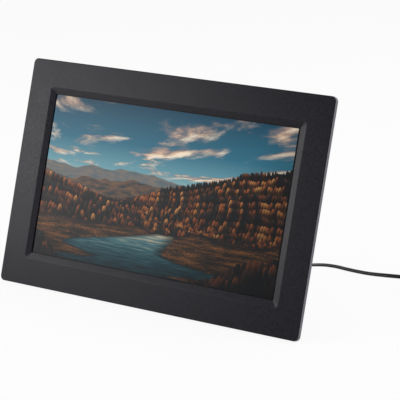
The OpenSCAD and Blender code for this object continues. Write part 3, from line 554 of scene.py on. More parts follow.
def moulded(name, dark, pale, roughness, grain=0.4, depth=0.02, speckle=0.35, cloudiness=0.2,
            dust=0.12, marks=0.12, strength=0.6, **fixed):
    """A moulded plastic or rubber: grain, cloudiness, handling marks and a little dust."""
    s = new_material(name, **fixed)
    grains = s.use(GRAIN, Grain_Size=grain, Speckle=speckle, Cloudiness=cloudiness)
    handled = s.use(HANDLING, Strength=marks)["Gloss Change"]
    dusty = s.use(DUST, Amount=dust)["Mask"]
    uneven = s.line(s.minus(grains["Shade"], MIDDLE_SHADE), 0.06, roughness)
    return s.dress(
        Base_Color=s.mix(dusty, s.mix(grains["Shade"], rgb(*dark), rgb(*pale)), DUST_SHADE),
        Roughness=s.plus(s.plus(handled, uneven), s.times(dusty, 0.3), clamp=True),
        Normal=s.bump(grains["Height"], strength, depth),
    )


def drawn_metal(name, dark, pale, roughness, along=(1, 0.05, 1), fineness=2500):
    """Plated or rolled metal with fine lines along one way."""
    s = new_material(name, Metallic=1)
    lines = s.use(DRAWN, Along=along, Fineness=fineness)
    handled = s.use(HANDLING, Strength=0.15)["Gloss Change"]
    return s.dress(
        Base_Color=s.mix(lines["Shade"], rgb(*dark), rgb(*pale)),
        Roughness=s.plus(handled, roughness, clamp=True),
        Normal=s.bump(lines["Height"], 0.25, 0.01),
    )


def board_material(name, mask, track):
    """A printed board: lacquer over copper tracks, and tinned pads."""
    s = new_material(name, Coat_Weight=0.3)
    place = s.place()
    square = s.cells(place, 260, distance="CHEBYCHEV")
    tracks = s.step(s.math("PINGPONG", square, 0.12), 0.07, 0.08)
    pads = s.step(s.cells(place, 420, 0.25), 0.16, 0.13)
    return s.dress(
        Base_Color=s.mix(pads, s.mix(tracks, rgb(*mask), rgb(*track)), rgb(190, 188, 180)),
        Roughness=s.scale_to(pads, 0, 1, 0.35, 0.25),
        Metallic=s.times(pads, 0.8),
        Normal=s.bump(tracks, 0.4, 0.03),
    )


def make_lead_vinyl():
    """Vinyl of the lead, with faint drawing lines along it and a soft sheen."""
    s = new_material("lead_vinyl", Coat_Weight=0.15, Coat_Roughness=0.3)
    along = s.add("TexCoord").outputs["UV"]
    lines = s.noise(s.mapping(along, (26, 60, 1)), 1, 3, 0.6)
    waves = s.noise(s.mapping(along, (2, 900, 1)), 1, 2)
    dusty = s.use(DUST, Amount=0.15)["Mask"]
    shade = s.mix(lines, rgb(14, 14, 15), rgb(26, 26, 28))
    return s.dress(
        Base_Color=s.mix(dusty, shade, DUST_SHADE),
        Roughness=s.scale_to(waves, 0.3, 0.7, 0.3, 0.42),
        Normal=s.bump(lines, 0.25, 0.03),
    )


def make_tie():
    """Woven strap: two crossing sets of fine threads."""
    s = new_material("tie_weave", Sheen_Weight=0.4, Sheen_Roughness=0.4)
    place = s.place()
    warp, weft = (
        s.add("TexWave", {"Vector": place, "Scale": scale, "Distortion": 0.3},
              bands_direction=way).outputs["Fac"]
        for scale, way in ((520, "Y"), (380, "X"))
    )
    weave = s.math("MAXIMUM", warp, s.times(weft, 0.9))
    fuzz = s.noise(place, 1800, 2)
    return s.dress(
        Base_Color=s.mix(weave, rgb(22, 22, 24), rgb(70, 70, 74)),
        Roughness=s.scale_to(fuzz, 0.3, 0.7, 0.7, 0.9),
        Normal=s.bump(s.plus(weave, s.times(fuzz, 0.4)), 0.7, 0.12),
    )


def make_foam():
    """Soft foam with fine open cells."""
    s = new_material("gasket_foam")
    cells = s.cells(s.place(), 2600)
    return s.dress(
        Base_Color=s.mix(cells, rgb(12, 12, 12), rgb(44, 44, 44)),
        Roughness=s.scale_to(cells, 0, 1, 0.8, 0.95),
        Normal=s.bump(cells, 0.8, 0.08),
    )


def make_clear(name, tint, roughness):
    """Clear acrylic or glass with dots printed on it."""
    s = new_material(name, Roughness=roughness, IOR=1.49, Transmission_Weight=0.85)
    printed = s.step(s.cells(s.place(), 900, 0.1), 0.3, 0.25)
    return s.dress(Base_Color=s.mix(printed, rgb(*tint), rgb(250, 250, 248)))


# ---- the picture on the screen


def ridge(s, x, seed, base, rise, swing, pace):
    """Height of a line of hills at each x."""
    line = s.add("TexNoise", {
        "W": s.line(x, pace, seed), "Scale": 1, "Detail": 3, "Roughness": 0.45,
    }, noise_dimensions="1D").outputs[0]
    return s.plus(s.line(x, rise, base), s.times(s.minus(line, 0.5), swing))


def below(s, v, line):
    """1 where the picture lies under a line, 0 above it."""
    return s.step(s.minus(line, v), -0.004, 0.004)


AUTUMN = [(0.25, 20, 25, 26), (0.42, 48, 40, 32), (0.56, 112, 60, 34), (0.7, 164, 90, 44),
          (0.84, 196, 134, 74)]
DUSK = [(0.25, 12, 18, 24), (0.5, 26, 32, 36), (0.66, 62, 44, 34), (0.84, 122, 66, 38)]
DARK_GREEN = rgb(14, 22, 28)
FAR_HILLS = [
    # seed, base, rise, swing, pace, shaded colour, lit colour
    (3.1, 0.60, -0.02, 0.16, 2.1, rgb(82, 96, 102), rgb(124, 110, 98)),
    (7.7, 0.51, 0.03, 0.14, 2.9, rgb(40, 50, 56), rgb(118, 86, 62)),
]


def tree_row(s, x, v, sheet, paint, foot, size, seed, tones, patch):
    """Paints one row of round trees that stand on a line, lit from the upper left."""
    along = s.line(x, 1 / size, seed)
    row = s.add("TexVoronoi", {"W": along, "Scale": 1, "Randomness": 0.75},
                voronoi_dimensions="1D").outputs
    number = s.add("SeparateColor", {"Color": row["Color"]}).outputs
    leaf = s.noise(sheet, 3.6 / size, 3, 0.62)
    dome = s.minus(1, s.math("POWER", s.times(row["Distance"], 1.75), 2))
    dome = s.math("SQRT", s.math("MAXIMUM", dome, 0))
    height = s.times(dome, s.line(number[0], 0.9 * size, 0.7 * size))
    ragged = s.times(s.minus(leaf, 0.5), 1.2 * size)
    depth = s.minus(s.plus(foot, s.plus(height, ragged)), v)
    side = s.line(s.minus(row["W"], along), 0.9, 0.75)
    light = s.times(s.scale_to(depth, 0, 1.4 * size, 1.2, 0.08), side)
    light = s.times(light, s.scale_to(leaf, 0.35, 0.68, 0.45, 1.6))
    light = s.times(light, s.scale_to(dome, 0, 0.8, 0.4, 1.1))
    tone = s.line(number[1], 0.65, s.times(patch, 0.45))
    colour = s.mix(1, s.ramp(tone, tones), s.grey(light), "MULTIPLY")
    return s.mix(s.step(depth, -0.0015, 0.0015), paint, colour)


def make_picture():
    """The lit picture: an evening river that winds out of wooded autumn hills."""
    s = new_material("lit_picture", Roughness=0.3, Emission_Strength=1, Specular_IOR_Level=0.12)
    u, v = s.add("SeparateXYZ", {"Vector": s.add("TexCoord").outputs["UV"]}).outputs[:2]
    x = s.times(u, SCREEN_W / SCREEN_H)

    # Sky and clouds, drawn on a level sheet that runs off to the horizon
    sky = s.ramp(v, [
        (0.48, 176, 190, 180), (0.6, 98, 148, 160), (0.76, 40, 102, 124),
        (1, 16, 62, 84),
    ])
    away = s.math("DIVIDE", 1, s.math("MAXIMUM", s.minus(v, 0.36), 0.02))
    ceiling = s.join(s.times(s.minus(x, 0.3), away), s.times(away, 1.25))
    towards_light = s.mapping(ceiling, location=(0.16, 0.1, 0))
    billow, lit_side = (s.noise(sheet, 0.95, 6, 0.56, 0.35)
                        for sheet in (ceiling, towards_light))
    cloud = s.ramp(s.scale_to(s.minus(billow, lit_side), -0.09, 0.09, 0, 1), [
        (0, 86, 100, 112), (0.4, 164, 134, 122), (0.65, 220, 180, 148),
        (1, 246, 226, 200),
    ])
    paint = s.mix(s.times(s.step(billow, 0.5, 0.66), 0.9), sky, cloud)

    # Far hills, each nearer one darker
    haze = s.noise(s.join(x, s.times(v, 3)), 14, 4)
    for *line, shade, glow in FAR_HILLS:
        hill = s.mix(s.scale_to(haze, 0.35, 0.65, 0, 0.8), shade, glow)
        paint = s.mix(below(s, v, ridge(s, x, *line)), paint, hill)

    # Wooded slope that falls from the right, row before row, then a lower one on the left
    sheet = s.join(x, v)
    patch = s.noise(sheet, 6, 2)
    for i in range(10):
        crest = s.line(s.step(x, 0.35, 1.9), 0.34 - 0.036 * i, 0.40 - 0.014 * i)
        foot = s.plus(crest, ridge(s, x, 12.4 + 0.3 * i, 0, 0, 0.07, 3.2))
        paint = tree_row(s, x, v, sheet, paint, foot, 0.0155 + 0.0012 * i, 1 + 3.7 * i,
                         AUTUMN if i % 3 else DUSK, patch)
    for i in range(6):
        crest = s.line(s.step(x, 0.95, -0.1), 0.20 - 0.036 * i, 0.31 - 0.015 * i)
        foot = s.plus(crest, ridge(s, x, 21.9 + 0.4 * i, 0, 0, 0.05, 3.6))
        paint = tree_row(s, x, v, sheet, paint, foot, 0.019 + 0.002 * i, 40 + 2.9 * i,
                         DUSK if i % 2 else AUTUMN, patch)

    # Meadow of the valley floor
    floor = ridge(s, x, 30.2, 0.255, 0.02, 0.09, 3.4)
    under = s.minus(floor, v)
    bands = s.noise(s.join(s.times(x, 3), s.times(v, 26)), 1.6, 4, 0.6)
    tufts = s.noise(s.join(s.times(x, 60), s.times(v, 110)), 1, 2)
    grass = s.ramp(s.line(tufts, 0.3, s.times(bands, 0.8)), [
        (0.35, 16, 20, 24), (0.52, 54, 42, 32), (0.66, 134, 84, 46),
        (0.8, 178, 126, 74),
    ])
    grass = s.mix(s.times(s.step(under, 0.045, 0), 0.85), grass, rgb(12, 17, 22))
    paint = s.mix(below(s, v, floor), paint, grass)

    # River that winds towards the front and widens
    near = s.math("MAXIMUM", s.minus(0.28, v), 0)
    swing = s.times(s.math("SINE", s.math("DIVIDE", 1.05, s.plus(v, 0.085))),
                    s.line(near, 1.05, 0.05))
    middle = s.plus(s.line(near, -1.2, 1), swing)
    ripples = s.noise(s.join(x, s.times(v, 3)), 16, 3)
    ragged = s.times(s.minus(ripples, 0.5), 0.05)
    aside = s.math("ABSOLUTE", s.plus(s.minus(x, middle), ragged))
    width = s.line(s.math("POWER", near, 1.15), 3, 0.014)
    inward = s.minus(width, aside)
    wet = s.times(s.step(inward, -0.004, 0.008), s.step(under, 0, 0.01))
    ripple = s.noise(s.join(s.times(x, 5), s.times(v, 70)), 1.3, 3, 0.6)
    water = s.ramp(s.plus(s.times(ripple, 0.55), s.times(v, 1.5)), [
        (0.26, 12, 46, 58), (0.42, 30, 84, 96), (0.55, 84, 130, 136),
        (0.72, 206, 190, 160),
    ])
    water = s.mix(s.times(s.step(inward, 0.09, 0), 0.8), water, DARK_GREEN)
    paint = s.mix(wet, paint, water)

    # Near bushes in both lower corners
    for i in range(4):
        rim = s.plus(s.times(s.step(x, 1, 1.85), 0.30 - 0.05 * i),
                     s.times(s.step(x, 0.36, -0.1), 0.24 - 0.05 * i))
        paint = tree_row(s, x, v, sheet, paint, s.minus(rim, 0.09), 0.045, 60 + 5.3 * i,
                         DUSK, patch)

    # Dusk gathers at the bottom and on the right slope, and nothing is lit beyond the edge
    dim = s.times(s.scale_to(v, 0.02, 0.5, 0.42, 1),
                  s.scale_to(s.minus(x, v), 0.7, 1.15, 1, 0.55))
    paint = s.mix(1, paint, s.grey(dim), "MULTIPLY")
    inside = s.times(s.math("COMPARE", u, 0.5, 0.5), s.math("COMPARE", v, 0.5, 0.5))
    return s.dress(
        Emission_Color=s.mix(inside, (0, 0, 0, 1), paint),
        Base_Color=s.mix(inside, rgb(4, 4, 5), rgb(14, 15, 17)),
        Normal=s.bump(s.noise(s.place(), 6000, 1), 0.12, 0.003),
    )

# ---- finishes

FRONT = moulded("front_plastic", (1, 0, 5), (21, 18, 31), 0.37, grain=1.6, depth=0.07,
                speckle=1.5, cloudiness=0.25, dust=0.03, marks=0.05, strength=0.8,
                Specular_IOR_Level=0.21)
# Outer side walls of the bezel: the front plastic painted much lighter, a painted sheen that stands
# in for the light the walls catch.
FRONT_SIDE_PAINTED_SHEEN = moulded("front_plastic_side_painted_sheen", (78, 73, 82), (112, 106, 116), 0.5, grain=1.6,
                     depth=0.1, speckle=0.6, dust=0.03, marks=0.05, Coat_Weight=0.4,
                     Coat_Roughness=0.4)
COVER = moulded("cover_plastic", (17, 16, 20), (42, 41, 46), 0.5, grain=1.2, depth=0.1, speckle=0.6)
KEYCAP = moulded("key_plastic", (40, 40, 43), (60, 60, 64), 0.42, grain=0.35, marks=0.25)
RUBBER = moulded("foot_rubber", (14, 14, 14), (30, 30, 30), 0.78, grain=0.8, dust=0.4)
GRIP = moulded("plug_vinyl", (16, 16, 17), (28, 28, 30), 0.4, grain=0.5, depth=0.03)
ADAPTER = moulded("adapter_plastic", (15, 15, 17), (38, 38, 41), 0.46, grain=1, depth=0.09,
                  speckle=0.6)
PRINT = moulded("white_print", (196, 196, 192), (224, 224, 220), 0.55, grain=0.3, depth=0.01,
                cloudiness=0.3)
WHITE_FILM = moulded("white_film", (226, 227, 224), (244, 244, 242), 0.6, grain=0.5, depth=0.01)
CABLE = moulded("flat_cable", (182, 150, 96), (214, 196, 158), 0.4, grain=0.6, depth=0.01)
RED_LEAD = moulded("lead_red", (120, 22, 20), (168, 36, 30), 0.4, grain=0.5)
BLACK_PARTS = moulded("component_black", (20, 20, 21), (48, 48, 50), 0.5)
PLATED = drawn_metal("nickel_plate", (150, 146, 136), (214, 210, 202), 0.22, along=(0.05, 1, 1))
STEEL = drawn_metal("zinc_steel", (128, 130, 134), (192, 194, 198), 0.34)
DARK_STEEL = drawn_metal("black_zinc", (34, 34, 38), (70, 70, 76), 0.36)
TRAY = drawn_metal("pressed_tray", (140, 142, 146), (196, 198, 202), 0.4, fineness=1600)
BOARD = board_material("green_board", (16, 74, 44), (30, 106, 62))
ADAPTER_BOARD = board_material("brown_board", (120, 86, 46), (164, 116, 66))
VINYL = make_lead_vinyl()
TIE = make_tie()
FOAM = make_foam()
CELL = make_clear("cell_glass", (60, 70, 78), 0.08)
GUIDE = make_clear("light_guide_acrylic", (228, 240, 244), 0.12)
PICTURE = make_picture()

# Finishes of the nodes that keep their own shape
for finish, names in (
    (FOAM, "screen_gasket"), (CELL, "lcd_cell"), (GUIDE, "light_guide"), (PRINT, "led_strip"),
    (RED_LEAD, "speaker_leads"), (PLATED, "stand_pin"), (ADAPTER_BOARD, "adapter_board"),
    (WHITE_FILM, "diffuser_films reflector_sheet"),
    (TRAY, "backlight_tray card_socket usb_socket"),
    (CABLE, "lcd_flex display_cable key_cable"),
    (BOARD, "driver_board main_board key_board"),
    (BLACK_PARTS, "board_parts power_jack left_speaker right_speaker"),
    (STEEL, "lcd_brackets lcd_screws coin_cell board_screws key_switches key_board_screws"
            " hanger_plates hanger_screws friction_washers"),
):
    for name in names.split():
        for material_slot in frame["nodes"][name].material_slots:
            material_slot.material = finish

# ---- bezel

LIP, CREASE, ROUND, FOOT = 0.12, 0.3, 0.12, 0.25
# The ribs that hold the display module: their gap to it, thickness, length and depth
RIB_GAP, RIB_T, RIB_LEN, RIB_Y = 0.3, 1.5, 14, 5.2
RIB_ROOT = FACE_T - 0.2
# Screw bosses: where they start and end in depth, their radius and their hole's
COVER_BOSS = (FACE_T, 5, 3.2, 1.25)
BRACKET_BOSS = (FACE_T, 6.2, 2.6, 1.05)
BRACKET_OUT, BRACKET_Z = 5.2, 39


def boss(bm, x, z, start, end, outer, inner):
    """A screw boss along Y, with its hole."""
    made = []
    for radius in (inner, outer):
        made += bmesh.ops.create_circle(bm, segments=24, radius=radius)["verts"]
    rims = list({e for v in made for e in v.link_edges})
    faces = bmesh.ops.bridge_loops(bm, edges=rims)["faces"]
    far = thicken(bm, faces, end - start)
    bmesh.ops.transform(bm, verts=made + far, matrix=at(x, end, z, 90))


def bezel_rings():
    """Rings over the bezel's section: rounded outside, sloped to the screen, a rim behind."""
    def body(inset, depth):
        return BODY_W / 2 - inset, BODY_H / 2 - inset, CORNER_R - inset, depth

    def opening(out, radius, depth):
        return SCREEN_W / 2 + MASK_W + out, SCREEN_H / 2 + MASK_W + out, radius, depth

    turns = [radians(22.5 * i) for i in range(5)]
    return [
        body(0, RIM_D), body(0, EDGE_R + LIP),
        *(body(EDGE_R * (1 - cos(a)), EDGE_R * (1 - sin(a))) for a in turns),
        body(EDGE_R + LIP, 0),
        *(opening(BEVEL_W + out, 3 + out, depth) for out, depth in (
            (CREASE + ROUND, 0), (CREASE, 0), (0, 0.035), (-CREASE, 0.09))),
        opening(FOOT, 0.55, BEVEL_D * (1 - FOOT / BEVEL_W)), opening(0.06, 0.36, BEVEL_D + 0.02),
        opening(0, 0.3, BEVEL_D + 0.14), opening(0, 0.3, FACE_T),
        body(RIM_T, FACE_T), body(RIM_T, RIM_D),
    ]


def build_bezel():
    """The front moulding, with the ribs round the display module and the screw bosses. Its outer
    side walls take a much lighter copy of its plastic, a painted sheen.
    """
    bm = ring_stack(bezel_rings())
    for sx in (-1, 1):
        for sz in (-1, 1):
            x, z = sx * (MODULE_HALF_W + RIB_GAP), sz * (MODULE_HALF_H + RIB_GAP)
            far_x, far_z = x + sx * RIB_T, z + sz * RIB_T
            box(bm, (x, RIB_ROOT, far_z), (far_x, RIB_Y, z - sz * RIB_LEN))
            box(bm, (x, RIB_ROOT, z), (x - sx * RIB_LEN, RIB_Y, far_z))
            boss(bm, sx * SCREW_X, sz * SCREW_Z, *COVER_BOSS)
            boss(bm, sx * (MODULE_HALF_W + BRACKET_OUT), sz * BRACKET_Z, *BRACKET_BOSS)
    for sz in (-1, 1):
        boss(bm, 0, sz * SCREW_Z, *COVER_BOSS)
    bm.normal_update()
    # Faces on the outer side walls take the second finish, the lighter copy with painted sheen.
    for face in bm.faces:
        p = face.calc_center_median()
        reach = hypot(max(0, abs(p.x) - BODY_W / 2 + CORNER_R),
                      max(0, abs(p.z) - BODY_H / 2 + CORNER_R))
        if reach > CORNER_R - 1 and abs(face.normal.y) < 0.6:
            face.material_index = 1
    bmesh.ops.translate(bm, vec=(0, 0, MID_Z), verts=bm.verts)
    bezel = add_piece("bezel", bm, FRONT, "front_plastic", "front_bezel")
    bezel.data.materials.append(FRONT_SIDE_PAINTED_SHEEN)


build_bezel()

# ---- screen

FILM_EDGE, FILM_FRONT, FILM_BACK = 3, 1.9, 2.1


def build_screen():
    """The display's front film. The picture ends DARK_END short of the opening's right side."""
    bm = bmesh.new()
    half_w, half_h = SCREEN_W / 2 + FILM_EDGE, SCREEN_H / 2 + FILM_EDGE
    box(bm, (-half_w, FILM_FRONT, MID_Z - half_h), (half_w, FILM_BACK, MID_Z + half_h))
    layer = bm.loops.layers.uv.new("picture")
    for face in bm.faces:
        for loop in face.loops:
            co = loop.vert.co
            loop[layer].uv = ((co.x + SCREEN_W / 2) / (SCREEN_W - DARK_END),
                              (co.z - MID_Z) / SCREEN_H + 0.5)
    add_piece("screen_film", bm, PICTURE, "screen_film", "front_polarizer")


build_screen()

# ---- softened mouldings

EDGE_ANGLE, FLAT_ANGLE = radians(30), radians(0.8)
CAD_SEAM = 0.004


def middle(edge):
    return (edge.verts[0].co + edge.verts[1].co) / 2


def convex(edge):
    return edge.calc_face_angle_signed(0) > 0


def soften(node, name, material, slot, *rules, place=LEAN, body="frame"):
    """A CAD node's shape with its sharp edges rounded: rules are (radius, steps, test)."""
    bm = bmesh.new()
    bm.from_mesh(frame["nodes"][node].data)
    bm.transform(place.inverted())
    bmesh.ops.remove_doubles(bm, verts=bm.verts, dist=CAD_SEAM)
    bmesh.ops.dissolve_limit(bm, angle_limit=FLAT_ANGLE, verts=bm.verts, edges=bm.edges,
                             delimit={"NORMAL"})
    for radius, steps, test in rules:
        edges = [e for e in bm.edges if e.calc_face_angle(0) > EDGE_ANGLE and test(e)]
        bmesh.ops.bevel(bm, geom=edges, offset=radius, offset_type="OFFSET", segments=steps,
                        profile=0.5, affect="EDGES", material=-1, clamp_overlap=True)
    add_piece(name, bm, material, slot, node, place=place, body=body, outward=False)


def outer_skin_depth(p):
    """Depth of the cover's outer skin behind a point in X and Z."""
    side = min(COVER_HALF - abs(p.x), p.z - COVER_LOW, COVER_HIGH - p.z)
    depth = min(COVER_Y, RIM_D + side * (COVER_Y - RIM_D) / HIP_W)
    side = min(HUMP_HALF - abs(p.x), p.z - HUMP_LOW, HUMP_HIGH - p.z)
    if side > 0:
        depth = max(depth, min(HUMP_Y, COVER_Y + side * (HUMP_Y - COVER_Y) / HUMP_DRAFT))
    return depth


def on_skin(edge):
    p = middle(edge)
    return p.y > RIM_D + 0.1 and abs(outer_skin_depth(p) - p.y) < 0.3 and convex(edge)


soften("rear_cover", "rear_cover_shell", COVER, "cover_plastic", (0.35, 3, on_skin))
soften("stand_leg", "stand_leg_shell", COVER, "cover_plastic", (0.3, 3, convex), body="leg")
soften("leg_pad", "leg_pad_rubber", RUBBER, "soft_rubber", (0.35, 3, convex), body="leg")
soften("rubber_feet", "rubber_foot_pair", RUBBER, "soft_rubber", (0.4, 3, convex))

# ---- keys

KEY_X, KEY_MID_Z, KEY_PITCH = 100, 119, 11
KEY_TOP = 16.2
KEYS = ["power", "menu", "up", "down", "left", "right", "enter"]
ARROWS = {"up": 0, "down": 180, "left": 90, "right": -90}
MARK_T = 0.04


def mark_bar(bm, x, y, w, h):
    made = square(bm, 0.5, at(x, y, 0) @ scaled(w, h))
    thicken(bm, faces_of(made), MARK_T)


def mark_arrow(bm, turn):
    made = bmesh.ops.create_circle(bm, cap_ends=True, segments=3, radius=1.25,
                                   matrix=at(0, 0, 0, turn, "Z"))
    thicken(bm, faces_of(made["verts"]), MARK_T)


def mark_ring(bm, outer, inner, start, end):
    """Part of a ring, from one angle to another, in degrees."""
    across = at((outer + inner) / 2, 0, MARK_T / 2, 90) @ scaled(outer - inner, MARK_T)
    made = square(bm, 0.5, at(0, 0, 0, start, "Z") @ across)
    bmesh.ops.spin(bm, geom=faces_of(made), cent=(0, 0, 0), axis=(0, 0, 1),
                   angle=radians(end - start), steps=20)


def draw_icon(bm, name):
    if name in ARROWS:
        mark_arrow(bm, ARROWS[name])
    elif name == "power":
        mark_ring(bm, 1.3, 0.95, 125, 415)
        mark_bar(bm, 0, 0.9, 0.35, 1.3)
    elif name == "menu":
        for y in (-0.85, 0, 0.85):
            mark_bar(bm, 0, y, 2.6, 0.32)
    else:
        mark_ring(bm, 1.25, 0.9, 0, 300)
        mark_bar(bm, 0, 0, 0.7, 0.7)


def build_keys():
    for i, name in enumerate(KEYS):
        node = name + "_key"
        soften(node, node + "_cap", KEYCAP, "key_plastic",
               (0.45, 4, lambda e: middle(e).y > KEY_TOP - 0.05), body=node)
        bm = bmesh.new()
        draw_icon(bm, name)
        bm.transform(at(KEY_X, KEY_TOP, KEY_MID_Z + (3 - i) * KEY_PITCH) @ FROM_BEHIND)
        add_piece(node + "_mark", bm, PRINT, "key_plastic", body=node)


build_keys()

# ---- screws

SCREW_SEAT = 6.8
SCREW_PROFILE = [(0, 1.35), (1.4, 1.3), (2.1, 1), (2.4, 0.4), (2.4, 0), (1.2, 0), (1.2, -3.8),
                 (0.8, -4.2), (0, -4.2)]
CROSS_LEN, CROSS_W, CROSS_LOW, CROSS_HIGH = 2.6, 0.62, 1.2, 1.38


def build_cover_screws():
    """Pan-head screws with a cross on the head, deep in the cover's holes."""
    bm = bmesh.new()
    for x in (-SCREW_X, 0, SCREW_X):
        for z in (MID_Z - SCREW_Z, MID_Z + SCREW_Z):
            merge(bm, turned(SCREW_PROFILE, 24), at(x, SCREW_SEAT, z) @ FROM_BEHIND)
            for w, h in ((CROSS_LEN, CROSS_W), (CROSS_W, CROSS_LEN)):
                box(bm, (x - w / 2, SCREW_SEAT + CROSS_LOW, z - h / 2),
                    (x + w / 2, SCREW_SEAT + CROSS_HIGH, z + h / 2))
    add_piece("cover_screw_set", bm, DARK_STEEL, "screw_black", "cover_screws")


build_cover_screws()

# ---- plug and adapter

JACK_Y, JACK_Z = 19.3, 48
GRIP_X, GRIP_LEN, RELIEF_LEN = 70.01, 18, 14
GRIP_R, GRIP_RIBS, GRIP_RIB_START, GRIP_RIB_PITCH = 4, 5, 4.2, 2.1
RELIEF_RIBS, RELIEF_CUT, RELIEF_END = 5, 0.55, 2
BARREL_PROFILE = [
    (0.7, -10.9), (0.9, -11), (1.45, -11), (1.7, -10.7), (1.75, -10.2), (1.75, -2.2),
    (1.55, -2), (1.55, -1.4), (1.75, -1.2), (1.75, 0), (0, 0), (0, -1),
    (0.7, -1), (0.7, -10.9),
]
PIN_PROFILE = [
    (0, -19), (1, -19), (1.5, -18.6), (1.85, -17.8), (2, -16.8), (2, -9),
    (1.95, -8.8), (1.95, 0), (1.6, 0), (1.6, 7), (0, 7),
]


def ribbed_relief(near, far):
    """A tapered relief with rings cut into it, from its wide end to its thin one."""
    def radius(h):
        return near + (far - near) * h / RELIEF_LEN

    points = [(0, 0), (near, 0)]
    pitch = (RELIEF_LEN - 2 * RELIEF_END) / RELIEF_RIBS
    for i in range(RELIEF_RIBS):
        h = RELIEF_END + i * pitch
        end = h + pitch * 0.45
        points += [(radius(h), h), (radius(h) - RELIEF_CUT, h + 0.12),
                   (radius(end) - RELIEF_CUT, end - 0.12), (radius(end), end)]
    points += [(radius(RELIEF_LEN - 0.3), RELIEF_LEN - 0.3), (far - 0.3, RELIEF_LEN),
               (0, RELIEF_LEN)]
    return turned(points)


def grip_profile():
    points = [(0, 0), (2.6, 0), (3.1, 0.35), (3.3, 1), (3.9, 2.2), (GRIP_R, 3)]
    for i in range(GRIP_RIBS):
        h = GRIP_RIB_START + i * GRIP_RIB_PITCH
        points += [(GRIP_R, h), (3.55, h + 0.25), (3.55, h + 0.85), (GRIP_R, h + 1.1)]
    return points + [(GRIP_R, 15.6), (3.9, 16.6), (3.6, 17.5), (3.3, GRIP_LEN), (0, GRIP_LEN)]


def build_plug():
    """The plug's parts, turned about Z from the jack outwards, then laid along -X."""
    lay = LEAN @ at(-GRIP_X, JACK_Y, JACK_Z, -90, "Y")
    add_piece("plug_grip_body", turned(grip_profile()), GRIP, "lead_vinyl", "plug_grip",
              place=lay, sharp=50)
    add_piece("plug_relief_body", ribbed_relief(3.4, 2.1), GRIP, "lead_vinyl", "plug_relief",
              place=lay @ at(0, 0, GRIP_LEN), sharp=50)
    add_piece("plug_barrel_sleeve", turned(BARREL_PROFILE), PLATED, "bright_metal",
              "plug_barrel", place=lay, sharp=50)


build_plug()

ADAPTER_X, ADAPTER_Y = 198, 136
ADAPTER_W, ADAPTER_L, ADAPTER_T, ADAPTER_SPLIT = 30, 56, 24, 13
ADAPTER_LEAD_Z = 7
PIN_OUT = 9.5


def on_joint(edge):
    return abs(middle(edge).z - ADAPTER_SPLIT) < 0.05 and convex(edge)


def on_far_face(edge):
    p = middle(edge)
    inside = (abs(p.x - ADAPTER_X) < ADAPTER_W / 2 - 0.5
              and abs(p.y - ADAPTER_Y) < ADAPTER_L / 2 - 0.5)
    return not inside and (p.z < 0.05 or p.z > ADAPTER_T - 0.05)


def build_adapter():
    """The wall adapter's two shells, its pins and the relief of its lead."""
    for node, name in (("adapter_base", "adapter_lower_shell"),
                       ("adapter_lid", "adapter_upper_shell")):
        soften(node, name, ADAPTER, "adapter_plastic", (1.4, 5, on_far_face),
               (0.25, 2, on_joint), place=FLAT)
    bm = bmesh.new()
    for side in (-1, 1):
        merge(bm, turned(PIN_PROFILE, 28), at(
            ADAPTER_X + side * PIN_OUT, ADAPTER_Y - ADAPTER_L / 2, ADAPTER_SPLIT, -90))
    add_piece("mains_pin_pair", bm, PLATED, "bright_metal", "adapter_pins", place=FLAT)
    lay = at(ADAPTER_X, ADAPTER_Y + ADAPTER_L / 2, ADAPTER_LEAD_Z, -90)
    add_piece("adapter_relief_body", ribbed_relief(3.6, 2), GRIP, "lead_vinyl",
              "adapter_relief", place=FLAT @ lay, sharp=50)


build_adapter()

# ---- the lead itself

GROOVE = 0.56


def section_points():
    """Outline of the twin lead: two round cores side by side, with a groove between them."""
    core, apart = LEAD_T / 2, (LEAD_W - LEAD_T) / 2
    right = [(apart + core * cos(radians(a)), core * sin(radians(a)))
             for a in range(-120, 121, 30)]
    left = [(-px, py) for px, py in reversed(right)]
    return right + [(0, GROOVE)] + left + [(0, -GROOVE)]


def build_lead():
    """The outline carried along the whole line, with its places along and round as a map."""
    bm = bmesh.new()
    layer = bm.loops.layers.uv.new("along")
    outline = section_points()
    rings, travelled = [], [0]
    for a, b in zip(LINE, LINE[1:]):
        travelled.append(travelled[-1] + (b - a).length * MM)
    for i, (point, turn) in enumerate(zip(LINE, TURNS)):
        ahead = LINE[min(i + 1, len(LINE) - 1)] - LINE[max(i - 1, 0)]
        level = ahead.cross(Vector((0, 0, 1))).normalized()
        across = level * cos(turn) - level.cross(ahead).normalized() * sin(turn)
        up = across.cross(ahead).normalized()
        rings.append([bm.verts.new(point + across * px + up * py) for px, py in outline])
    count = len(outline)
    for i, (ring, following) in enumerate(zip(rings, rings[1:])):
        for k in range(count):
            n = (k + 1) % count
            face = bm.faces.new((ring[k], ring[n], following[n], following[k]))
            places = ((k, i), (k + 1, i), (k + 1, i + 1), (k, i + 1))
            for loop, (share, place) in zip(face.loops, places):
                loop[layer].uv = (share / count, travelled[place])
    bm.faces.new(list(reversed(rings[0])))
    bm.faces.new(rings[-1])
    return add_piece("power_lead", bm, VINYL, "lead_vinyl", "cord_run", "cord_coil",
                     "cord_tail", place=FLAT, sharp=60)


lead = build_lead()

# The strap lies round the coil's winding where it passes this place
STRAP_PLACE = (COIL_CENTRE.x - 19.1, COIL_CENTRE.y, 2.5)
STRAP_HALF_W, STRAP_HALF_H, STRAP_R, STRAP_T, STRAP_REACH = 7.1, 2.05, 0.9, 0.4, 3


